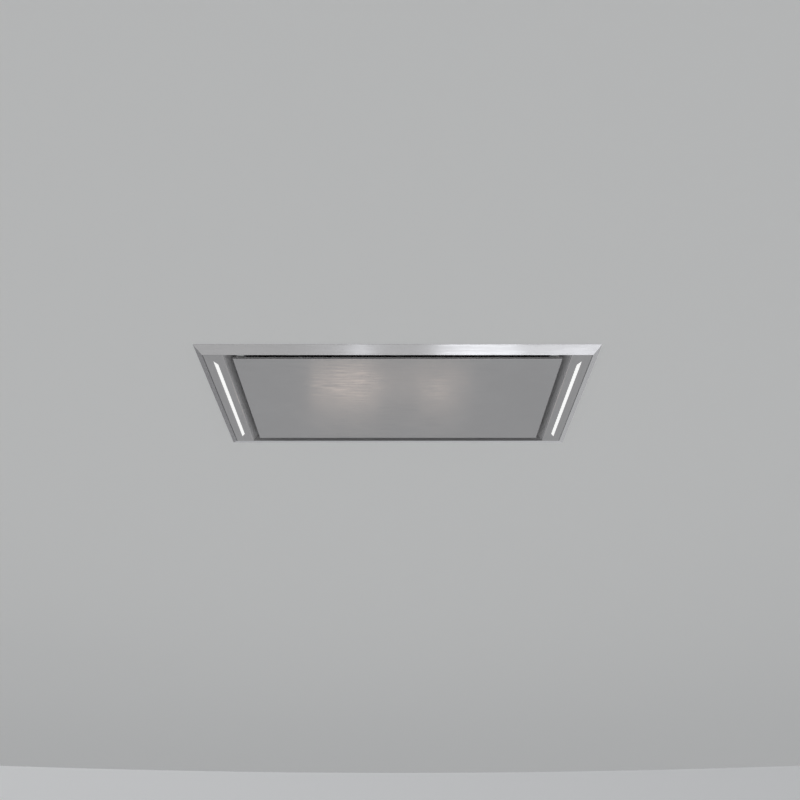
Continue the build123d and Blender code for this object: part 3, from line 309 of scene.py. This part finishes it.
def mitre_side(tree):
    """1 on the trim's side bevels and 0 on its front and rear ones. A bevel's point is on the
    side where it is further in from the front edge than from the side edge, each measured in
    bevel widths."""
    axes = axes_of(tree)
    from_side = inset(tree, axes[0], HOOD_WIDTH / 2, BEVEL_SIDE)
    from_front = inset(tree, axes[1], HOOD_DEPTH / 2, BEVEL_FRONT)
    difference = calculate(tree, "SUBTRACT", from_front, from_side)
    return spread(tree, difference, 0.0, 1.0, -0.02, 0.02)


def spaced_dots(tree, axes, along, pitch, level, radius):
    """1 inside the dots of a row that runs along one axis at a steady pitch and height."""
    step = calculate(tree, "FRACT", calculate(tree, "DIVIDE", axes[along], pitch))
    aside = calculate(tree, "MULTIPLY", calculate(tree, "SUBTRACT", step, 0.5), pitch)
    above = calculate(tree, "SUBTRACT", axes[2], level)
    distance = calculate(tree, "SQRT", two_products(tree, aside, aside, above, above))
    return spread(tree, distance, 1.0, 0.0, 0.7 * radius, radius)


def sheet_work(tree):
    """What folding and spot welding leave on the case: a row of weld dimples round its walls just
    above the flange, and an upright seam near each corner of its front and rear walls."""
    pitch, level, radius = 60 * MM, 14 * MM, 3.6 * MM
    axes = axes_of(tree)
    rows = [spaced_dots(tree, axes, along, pitch, level, radius) for along in (0, 1)]
    aside = calculate(tree, "SUBTRACT", calculate(tree, "ABSOLUTE", axes[0]), SEAM_X)
    from_seam = calculate(tree, "ABSOLUTE", aside)
    on_wall = calculate(tree, "GREATER_THAN", calculate(tree, "ABSOLUTE", axes[1]), WALL_Y)
    groove = spread(tree, from_seam, 1.0, 0.0, 0.3 * MM, 0.9 * MM)
    seam = calculate(tree, "MULTIPLY", groove, on_wall)
    return calculate(tree, "MAXIMUM", calculate(tree, "MAXIMUM", *rows), seam)


def galvanised(name):
    """Zinc coating: small crystals with their own faint shade and gloss, soft clouds, and the
    dimples and seams of the sheet work pressed into it, a little darker."""
    colour = (0.47, 0.485, 0.495)
    material, tree, shader = finish(name, colour, 0.90, 0.36)
    shade = tree.nodes.new("ShaderNodeSeparateColor")
    tree.links.new(cell_colours(tree, 130.0), shade.inputs[0])
    cloud = noise(tree, even(6.0), 2)
    crystals = tint(tree, shade.outputs[0], scaled(colour, 0.90), scaled(colour, 1.08), 0.0, 1.0)
    clouds = tint(tree, cloud, (0.94, 0.94, 0.945), even(1.0))
    work = sheet_work(tree)
    pressed_in = tint(tree, work, even(1.0), even(0.72), 0.0, 1.0)
    coated = multiply_colours(tree, crystals, clouds)
    feed(shader, "Base Color", multiply_colours(tree, coated, pressed_in))
    crystal_gloss = spread(tree, shade.outputs[1], 0.28, 0.38)
    cloud_gloss = spread(tree, cloud, 0.0, 0.05)
    feed(shader, "Roughness", calculate(tree, "ADD", crystal_gloss, cloud_gloss))
    height = two_products(tree, work, -0.45, noise(tree, even(260.0), 3), 0.012)
    relief(tree, shader, height, 1.0 * MM, 0.9)
    return material


def metal(name, colour, roughness, scale=even(160.0)):
    """Plain metal: faint tool marks in shade, gloss and height."""
    material, tree, shader = finish(name, colour, 1.0, roughness)
    marks = noise(tree, scale, 5, 0.6)
    wear = noise(tree, even(22.0), 3)
    marked = tint(tree, marks, scaled(colour, 0.86), scaled(colour, 1.08))
    worn = tint(tree, wear, even(0.90), even(1.0), 0.35, 0.65)
    feed(shader, "Base Color", multiply_colours(tree, marked, worn))
    gloss = spread(tree, marks, roughness - 0.06, roughness + 0.10, 0.3, 0.7)
    feed(shader, "Roughness", gloss)
    relief(tree, shader, marks, 0.02 * MM, 0.5)
    return material


def moulded(name, colour, roughness, depth=0.03, metallic=0.0):
    """Moulded plastic or rubber: a fine eroded skin, and gloss and shade that drift slowly."""
    material, tree, shader = finish(name, colour, metallic, roughness)
    skin = noise(tree, even(1100.0), 3)
    drift = noise(tree, even(18.0), 3)
    shade = tint(tree, drift, scaled(colour, 0.90), scaled(colour, 1.06))
    gloss = spread(tree, drift, roughness - 0.06, roughness + 0.08, 0.3, 0.7)
    feed(shader, "Base Color", shade)
    feed(shader, "Roughness", gloss)
    relief(tree, shader, skin, depth * MM, 0.6)
    return material


def opal(name):
    """Lit opal strip: a satin white that glows evenly."""
    material, tree, shader = finish(name, (0.88, 0.88, 0.86), 0.0, 0.38)
    haze = noise(tree, even(60.0), 3)
    feed(shader, "Base Color", tint(tree, haze, (0.84, 0.84, 0.82), (0.90, 0.90, 0.89)))
    shader.inputs["Emission Color"].default_value = (1.0, 0.995, 0.98, 1)
    shader.inputs["Emission Strength"].default_value = 0.47
    relief(tree, shader, noise(tree, even(900.0), 2), 0.01 * MM, 0.4)
    return material


def knitted(name):
    """Aluminium knit: bright crossing strands over holes painted near black as painted shade, on
    two slanted sets of waves.
    """
    colour = (0.62, 0.63, 0.64)
    material, tree, shader = finish(name, colour, 0.9, 0.38)
    waves = []
    for turn in (0.62, -0.62):
        wave = tree.nodes.new("ShaderNodeTexWave")
        wave.inputs["Scale"].default_value = 130.0
        wave.inputs["Distortion"].default_value = 1.6
        wave.inputs["Detail"].default_value = 2.0
        tree.links.new(place(tree, turn=(0, 0, turn)), wave.inputs["Vector"])
        waves.append(wave.outputs["Fac"])
    strands = calculate(tree, "MAXIMUM", *waves)
    # Painted shade: between the strands the colour goes near black, standing in for the shade seen
    # through the holes.
    feed(shader, "Base Color", tint(tree, strands, (0.05, 0.05, 0.052), colour, 0.35, 0.8))
    relief(tree, shader, strands, 0.35 * MM, 0.8)
    return material


def wound(name):
    """Enamelled copper wire: turns side by side along X, with a slight drift in shade, painted
    darker between the turns as painted shade in the grooves.
    """
    material, tree, shader = finish(name, (0.62, 0.27, 0.11), 1.0, 0.3)
    wave = tree.nodes.new("ShaderNodeTexWave")
    wave.inputs["Scale"].default_value = 320.0
    wave.inputs["Distortion"].default_value = 2.0
    tree.links.new(place(tree, turn=(0.3, 0, 0)), wave.inputs["Vector"])
    turns = wave.outputs["Fac"]
    # Painted shade: the colour darkens in the grooves between the turns.
    feed(shader, "Base Color", tint(tree, turns, (0.30, 0.11, 0.04), (0.72, 0.33, 0.14), 0.1, 0.8))
    relief(tree, shader, turns, 0.25 * MM, 0.8)
    return material


def printed(name, ground, track):
    """Circuit board: lacquer with straight tracks that step from cell to cell."""
    material, tree, shader = finish(name, ground, 0.0, 0.32)
    brick = tree.nodes.new("ShaderNodeTexBrick")
    brick.inputs["Scale"].default_value = 260.0
    brick.inputs["Mortar Size"].default_value = 0.035
    brick.inputs["Color1"].default_value = (*ground, 1)
    brick.inputs["Color2"].default_value = (*scaled(ground, 0.8), 1)
    brick.inputs["Mortar"].default_value = (*track, 1)
    tree.links.new(place(tree), brick.inputs["Vector"])
    feed(shader, "Base Color", brick.outputs["Color"])
    relief(tree, shader, brick.outputs["Fac"], 0.04 * MM, 0.5)
    return material


finishes = {
    "brushed_stainless": brushed("brushed_along_x", "x", turned_up),
    "galvanised": galvanised("galvanised"),
    "bracket_steel": metal("bracket_steel", (0.56, 0.57, 0.56), 0.36),
    "spring_steel": metal("spring_steel", (0.42, 0.42, 0.43), 0.28, (20.0, 300.0, 300.0)),
    "bright_steel": metal("bright_steel", (0.66, 0.66, 0.65), 0.24, even(300.0)),
    "opal_lens": opal("opal_lens"),
    "led_aluminium": metal("led_aluminium", (0.70, 0.71, 0.72), 0.38, (260.0, 3.0, 260.0)),
    "led_board": printed("led_board", (0.74, 0.75, 0.73), (0.55, 0.56, 0.54)),
    "filter_aluminium": metal("filter_aluminium", (0.72, 0.73, 0.74), 0.34, (90.0, 90.0, 500.0)),
    "filter_mesh": knitted("filter_mesh"),
    "latch_plastic": moulded("latch_plastic", (0.10, 0.10, 0.105), 0.48),
    "blower_plastic": moulded("blower_plastic", (0.055, 0.056, 0.06), 0.52),
    "impeller_plastic": moulded("impeller_plastic", (0.045, 0.046, 0.05), 0.45),
    "motor_steel": metal("motor_steel", even(0.50), 0.34, (30.0, 240.0, 240.0)),
    "copper": wound("copper"),
    "mount_rubber": moulded("mount_rubber", (0.022, 0.022, 0.023), 0.78, 0.06),
    "duct_plastic": moulded("duct_plastic", (0.075, 0.076, 0.08), 0.5),
    "circuit_green": printed("circuit_green", (0.015, 0.13, 0.055), (0.03, 0.22, 0.10)),
    "terminal_white": moulded("terminal_white", (0.72, 0.71, 0.68), 0.45),
    "capacitor_shell": moulded("capacitor_shell", (0.66, 0.66, 0.65), 0.4),
    "gland_plastic": moulded("gland_plastic", (0.20, 0.205, 0.21), 0.5),
    "lead_sheath": moulded("lead_sheath", (0.05, 0.05, 0.052), 0.6, 0.05),
    "catch_magnet": moulded("catch_magnet", (0.06, 0.058, 0.058), 0.5, 0.05, 0.4),
}
brushed_y = brushed("brushed_along_y", "y", turned_up)
brushed_trim = brushed("brushed_trim", "frame", trim_lips, 0.17, 0.03, 0.45)
own_finish = {
    "ceiling_frame": brushed_trim,
    "side_panel_left": brushed_y,
    "side_panel_right": brushed_y,
}
for node_name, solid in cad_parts.items():
    for material_slot in solid.material_slots:
        slot_name = material_slot.material.name.split(".")[0]
        material_slot.material = own_finish.get(node_name, finishes[slot_name])

# ---------------------------------------------------------------- surfaces


def ring_faces(rows, columns):
    """Corner numbers of the quads between rings of points, ring by ring, with each ring's last
    point joined to its first."""
    row = np.arange(rows - 1)[:, None] * columns
    here = np.arange(columns)[None, :]
    ahead = (here + 1) % columns
    corners = np.stack([row + here, row + ahead, row + columns + ahead, row + columns + here], -1)
    return corners.reshape(-1, 4).tolist()


def closed_tube_faces(rows, columns):
    """Quads of a tube of rings, and a fan to a pole at each end. The poles are the last points."""
    ring = np.arange(columns)
    first = rows * columns
    start = np.stack([ring, np.full(columns, first), (ring + 1) % columns], -1)
    last = (rows - 1) * columns
    end = np.stack([last + ring, last + (ring + 1) % columns, np.full(columns, first + 1)], -1)
    return ring_faces(rows, columns) + start.tolist() + end.tolist()


def surface(name, points, faces, material, smooth=True):
    """A piece from an array of points and a list of faces."""
    mesh = bpy.data.meshes.new(name)
    mesh.from_pydata(np.asarray(points).reshape(-1, 3).tolist(), [], faces)
    mesh.polygons.foreach_set("use_smooth", np.full(len(mesh.polygons), smooth))
    mesh.materials.append(material)
    mesh.update()
    piece = bpy.data.objects.new(name, mesh)
    scene.collection.objects.link(piece)
    return piece


def hood_piece(name, points, faces, slot, smooth=True):
    """A surface in one of the finishes, that rides on the hood."""
    piece = surface(name, points, faces, finishes[slot], smooth)
    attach(piece, "hood")
    return piece


# ---------------------------------------------------------------- filter nets


def filter_net(name, middle):
    """Expanded-metal net under the pleated pad. The net is a lattice of diamonds: lattice points
    lie at every half fold across and every half diamond along, each second row shifted by a
    half. The height is a zigzag of the distance across, highest at even folds. Each diamond's
    four strands run between its corners and the same corners drawn in to its middle. The pad's
    lower face carries the net, and the pocket of the latch cuts a notch from it."""
    diamond, strand, drawn_in = 7.0 * MM, 0.32 * MM, 0.66
    border, edge_share = 4.6 * MM, 0.45
    below = PAD_SHEET / 2 + 0.03 * MM
    rows = 2 * int((PAD_DEPTH - border) / diamond)
    row, column = np.meshgrid(np.arange(rows - 1), np.arange(HALF_FOLDS), indexing="ij")
    across_centre = column + 0.5 + 0.5 * (row % 2)
    along_centre = (row + 1 - rows / 2) * diamond / 2
    reach = np.array([(0, -1), (1, 0), (0, 1), (-1, 0)])
    outer_u = across_centre[..., None] + 0.5 * reach[:, 0]
    outer_v = along_centre[..., None] + 0.5 * diamond * reach[:, 1]
    inner_u = across_centre[..., None] + 0.5 * drawn_in * reach[:, 0]
    inner_v = along_centre[..., None] + 0.5 * drawn_in * diamond * reach[:, 1]
    u = np.concatenate([outer_u, inner_u], -1)
    v = np.concatenate([outer_v, inner_v], -1)
    x = middle - PAD_WIDTH / 2 + u * PAD_WIDTH / HALF_FOLDS
    y = PAD_MIDDLE + v
    zigzag = 1 - 2 * np.abs((u + 1) % 2 - 1)
    z = PAD_LEVEL + PAD_SWING * zigzag - below
    whole = (u.min(-1) >= edge_share) & (u.max(-1) <= HALF_FOLDS - edge_share)
    notch = (np.abs(x - middle).min(-1) < POCKET_HALF) & (y.min(-1) < POCKET_REAR)
    kept = whole & ~notch
    upper = np.stack([x, y, z], -1)[kept]
    lower = upper - np.array([0, 0, strand])
    points = np.concatenate([upper, lower], 1)
    base = 16 * np.arange(len(points))[:, None, None]
    k = np.arange(4)
    n = (k + 1) % 4
    top = np.stack([k, n, 4 + n, 4 + k], -1)
    bottom = np.stack([8 + n, 8 + k, 12 + k, 12 + n], -1)
    hole = np.stack([4 + k, 4 + n, 12 + n, 12 + k], -1)
    rim = np.stack([n, k, 8 + k, 8 + n], -1)
    faces = (base + np.concatenate([top, bottom, hole, rim])[None]).reshape(-1, 4).tolist()
    return hood_piece(name, points, faces, "filter_aluminium", smooth=False)


for number, middle in enumerate(FILTER_PLACES, start=1):
    filter_net(f"filter_net_{number}", middle)

# ---------------------------------------------------------------- latch springs


def tube(path, radius, sides):
    """Points of a round tube: at each point of the path a ring of the radius, square to the
    path's direction, that starts on the side away from the Y axis."""
    ahead = np.gradient(path, axis=0)
    ahead /= np.linalg.norm(ahead, axis=1, keepdims=True)
    side = np.cross(ahead, (0.0, 1.0, 0.0))
    side /= np.linalg.norm(side, axis=1, keepdims=True)
    rise = np.cross(side, ahead)
    angle = np.linspace(0, 2 * pi, sides, endpoint=False)[None, :, None]
    rings = path[:, None] + radius * (np.cos(angle) * side[:, None] + np.sin(angle) * rise[:, None])
    return np.concatenate([rings.reshape(-1, 3), path[:1], path[-1:]])


def latch_spring(name, middle):
    """Compression spring along Y: a circle round the axis whose advance eases in and out, so that
    the end turns lie closed."""
    turns, steps, sides, easing = 6, 96, 8, 0.7
    share = np.linspace(0, 1, steps)
    eased = share - easing * np.sin(2 * pi * share) / (2 * pi)
    angle = 2 * pi * turns * share
    start = SPRING_START + SPRING_WIRE
    length = SPRING_END - SPRING_START - 2 * SPRING_WIRE
    path = np.stack(
        [
            middle + SPRING_RADIUS * np.cos(angle),
            start + length * eased,
            SPRING_LEVEL + SPRING_RADIUS * np.sin(angle),
        ],
        -1,
    )
    points = tube(path, SPRING_WIRE, sides)
    return hood_piece(name, points, closed_tube_faces(steps, sides), "spring_steel")


for number, middle in enumerate(FILTER_PLACES, start=1):
    spring = latch_spring(f"wound_spring_{number}", middle)
    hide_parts(f"latch_spring_{number}")
    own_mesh(spring)

# ---------------------------------------------------------------- screws


def crosshead_screws(name, places, head, height, length, up):
    """Pan-head screws of one size. A screw is a profile turned about Z: out over a domed head,
    down its side, in under it, and down the shank to its tip. The recess is a four-armed star: its
    reach is a small radius plus a high power of the cosine of twice the angle, and the head's top
    sinks where the radius is less than that reach."""
    shank, sides, sunk_share = 2 * MM, 32, 0.42
    dome = np.linspace(0.06, 1.0, 11)
    profile = [(head * r, height * (0.62 + 0.38 * np.sqrt(1 - 0.98 * r * r))) for r in dome]
    profile += [(head, height * 0.45), (head, height * 0.08), (head * 0.97, 0.0)]
    profile += [(shank, 0.0), (shank, -length + 1 * MM), (shank * 0.25, -length)]
    radius, rise = np.array(profile).T[:, :, None]
    angle = np.linspace(0, 2 * pi, sides, endpoint=False)[None, :]
    reach = head * (0.14 + 0.42 * np.abs(np.cos(2 * angle)) ** 9)
    sunk = np.clip((reach - radius) / (0.10 * head), 0, 1) * (rise > 0.5 * height)
    x = radius * np.cos(angle)
    y = radius * np.sin(angle)
    z = rise - sunk_share * height * sunk
    rings = np.stack([x, y, z], -1).reshape(-1, 3)
    floor = profile[0][1] - sunk_share * height
    one = np.concatenate([rings, [(0, 0, floor), (0, 0, -length)]])
    if not up:
        one = one * (1, -1, -1)
    outward = [face[::-1] for face in closed_tube_faces(len(profile), sides)]
    points, faces = [], []
    for number, centre in enumerate(places):
        turn = 0.7 * number
        c, s = np.cos(turn), np.sin(turn)
        points.append(one @ np.array([(c, s, 0), (-s, c, 0), (0, 0, 1)]) + centre)
        faces += [[corner + number * len(one) for corner in face] for face in outward]
    return hood_piece(name, np.concatenate(points), faces, "bright_steel")


case_places = CHAMBER_SCREWS + DUCT_SCREWS
case_screws = crosshead_screws("chamber_screws", case_places, 4.0 * MM, 2.5 * MM, 10 * MM, up=True)
panel_screws = crosshead_screws("panel_screws", PANEL_SCREWS, 3.5 * MM, 2.5 * MM, 5 * MM, up=False)
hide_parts("case_screws")
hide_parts("light_panel_screws")

# ---------------------------------------------------------------- stage


def plain_stage(name, points, faces, colour, one_sided=False):
    """A plain matt sheet that isn't part of the hood. A one-sided sheet is clear from behind."""
    material, tree, shader = finish(name, colour, 0.0, 0.9)
    if one_sided:
        clear = tree.nodes.new("ShaderNodeBsdfTransparent")
        mix = tree.nodes.new("ShaderNodeMixShader")
        behind = tree.nodes.new("ShaderNodeNewGeometry")
        tree.links.new(behind.outputs["Backfacing"], mix.inputs[0])
        tree.links.new(shader.outputs[0], mix.inputs[1])
        tree.links.new(clear.outputs[0], mix.inputs[2])
        tree.links.new(mix.outputs[0], tree.nodes["Material Output"].inputs["Surface"])
    piece = surface(name, points, faces, material)
    return piece


def seen_by(piece, camera=False, reflections=False, light=False):
    """Which rays meet a stage piece: the camera's, those of reflections, and those of soft light
    with its shadows."""
    piece.visible_camera = camera
    piece.visible_glossy = piece.visible_transmission = reflections
    piece.visible_diffuse = piece.visible_shadow = light


def level_frame(outer, inner, level):
    """Points and downward faces of a level sheet with a rectangular hole."""
    corner = np.array([(-1, -1), (1, -1), (1, 1), (-1, 1)])
    flat = np.concatenate([corner * np.array(outer) / 2, corner * np.array(inner) / 2])
    k = np.arange(4)
    n = (k + 1) % 4
    return np.insert(flat, 2, level, axis=1), np.stack([4 + k, 4 + n, n, k], -1).tolist()


def round_floor(reach, rings, level, wall_reach=0.0, wall_height=0.0):
    """Points and upward faces of a round floor. Past its reach it rises into a wall: the height
    is the wall's height times the cube of how far the point is from the floor to the wall."""
    columns, centre = 96, 0.01
    radius = np.linspace(centre, reach + wall_reach, rings)[:, None]
    angle = np.linspace(2 * pi, 0, columns, endpoint=False)[None, :]
    outside = np.clip((radius - reach) / max(wall_reach, 1.0), 0, 1)
    height = level + wall_height * outside**3 + 0 * angle
    points = np.stack([radius * np.cos(angle), radius * np.sin(angle), height], -1)
    return points, ring_faces(rings, columns) + [list(range(columns))]


PALE, CEILING_PAINT, CARD_GREY = (0.90, 0.90, 0.89), (0.80, 0.80, 0.79), (0.46, 0.46, 0.47)
FLOOR_LEVEL, BELOW_FLOOR, FLOOR_REACH = -2.5, -2.53, 30.0
BACKDROP_REACH, WALL_REACH, WALL_HEIGHT = 4.0, 16.0, 16.0
CEILING_SIZE, ABOVE_RIM = (60.0, 60.0), 0.5 * MM

# The camera sees the backdrop and the ceiling. The floor just below the backdrop is for
# reflections and soft light alone.
floor = plain_stage("floor", *round_floor(FLOOR_REACH, 6, BELOW_FLOOR), PALE)
seen_by(floor, reflections=True, light=True)
curve = round_floor(BACKDROP_REACH, 60, FLOOR_LEVEL, WALL_REACH, WALL_HEIGHT)
seen_by(plain_stage("backdrop", *curve, PALE), camera=True)
sheet = level_frame(CEILING_SIZE, CASE_HOLE, ABOVE_RIM)
seen_by(plain_stage("ceiling", *sheet, CEILING_PAINT, one_sided=True), camera=True)


def grey_card(name, centre, width, height):
    """An upright grey sheet that faces the hood, for the bevel on the left to mirror."""
    aside = np.cross((0, 0, 1), centre)
    aside = aside / np.linalg.norm(aside) * width / 2
    rise = np.array([0, 0, height / 2])
    corners = np.array([-aside - rise, aside - rise, aside + rise, -aside + rise]) + centre
    seen_by(plain_stage(name, corners, [[0, 1, 2, 3]], CARD_GREY), reflections=True)


grey_card("grey_card", (-2.16, 2.80, -0.05), 2.0, 2.2)


def soft_lamp(name, where, aim, size, radiance, colour=even(1.0), mirrored_only=True):
    """A rectangular lamp that faces aim. Its power is its radiance times pi times its area."""
    light = bpy.data.lights.new(name, "AREA")
    light.shape = "RECTANGLE"
    light.size, light.size_y = size
    light.energy = radiance * pi * size[0] * size[1]
    light.color = colour
    lamp = bpy.data.objects.new(name, light)
    lamp.location = where
    lamp.rotation_euler = (Vector(aim) - Vector(where)).to_track_quat("-Z", "Y").to_euler()
    lamp.visible_camera = False
    lamp.visible_diffuse = not mirrored_only
    scene.collection.objects.link(lamp)


COOL, WARM = (0.908, 0.94, 1.0), (1.0, 0.80, 0.66)


def bevel_lamp(name, x, aim_x, width, radiance, level=-2.40):
    """A cool lamp down behind the hood, which the near bevel mirrors."""
    soft_lamp(name, (x, 0.95, level), (aim_x, NEAR_BEVEL_Y, 0), (width, 0.6), radiance, COOL)


def panel_lamp(name, where, aim_x, size, radiance):
    """A warm lamp far behind the hood, which the panel mirrors."""
    soft_lamp(name, where, (aim_x, 0, 0), size, radiance, WARM)


def case_lamp(name, where, side, radiance):
    """A square lamp above the ceiling, which lights the case."""
    soft_lamp(name, where, (0, 0, 0.1), (side, side), radiance, mirrored_only=False)


soft_lamp("front_wash", (0.0, 0.95, -2.45), (0.0, NEAR_BEVEL_Y, 0), (4.2, 0.7), 0.34)
bevel_lamp("front_haze", -0.11, -0.05, 0.74, 0.13, level=-2.42)
bevel_lamp("front_softbox", 0.46, 0.2, 0.44, 1.96)
bevel_lamp("front_softbox_right", 1.06, 0.4, 0.66, 1.40)
bevel_lamp("front_softbox_middle", -0.22, -0.08, 0.12, 1.02)
panel_lamp("warm_left", (-0.38, 3.72, -2.2), -0.1, (0.24, 0.20), 0.34)
panel_lamp("warm_left_edge", (-0.42, 3.80, -2.2), -0.1, (0.54, 0.24), 0.38)
panel_lamp("warm_right", (0.31, 3.90, -2.2), 0.05, (0.30, 0.22), 0.30)
panel_lamp("warm_haze", (-0.07, 3.80, -2.25), 0, (1.26, 0.22), 0.26)
case_lamp("case_key", (-1.9, -1.5, 2.3), 1.4, 7.0)
case_lamp("case_fill", (1.9, 1.9, 1.8), 1.8, 1.4)


def studio_world():
    """Pale even light that is a little brighter on the right, and dimmer overhead."""
    world = bpy.data.worlds.new("studio")
    scene.world = world
    world.use_nodes = True
    tree = world.node_tree
    background = tree.nodes["Background"]
    source = tree.nodes.new("ShaderNodeTexCoord")
    axes = tree.nodes.new("ShaderNodeSeparateXYZ")
    tree.links.new(source.outputs["Generated"], axes.inputs[0])
    from_left = spread(tree, axes.outputs[0], 0.0, 1.0, -1.0, 1.0)
    shade = tint(tree, from_left, (0.40, 0.41, 0.43), (0.86, 0.87, 0.89), 0.0, 1.0)
    overhead = tint(tree, axes.outputs[2], even(1.0), even(0.8), 0.15, 0.65)
    feed(background, "Color", multiply_colours(tree, shade, overhead))
    background.inputs["Strength"].default_value = 1.0


studio_world()
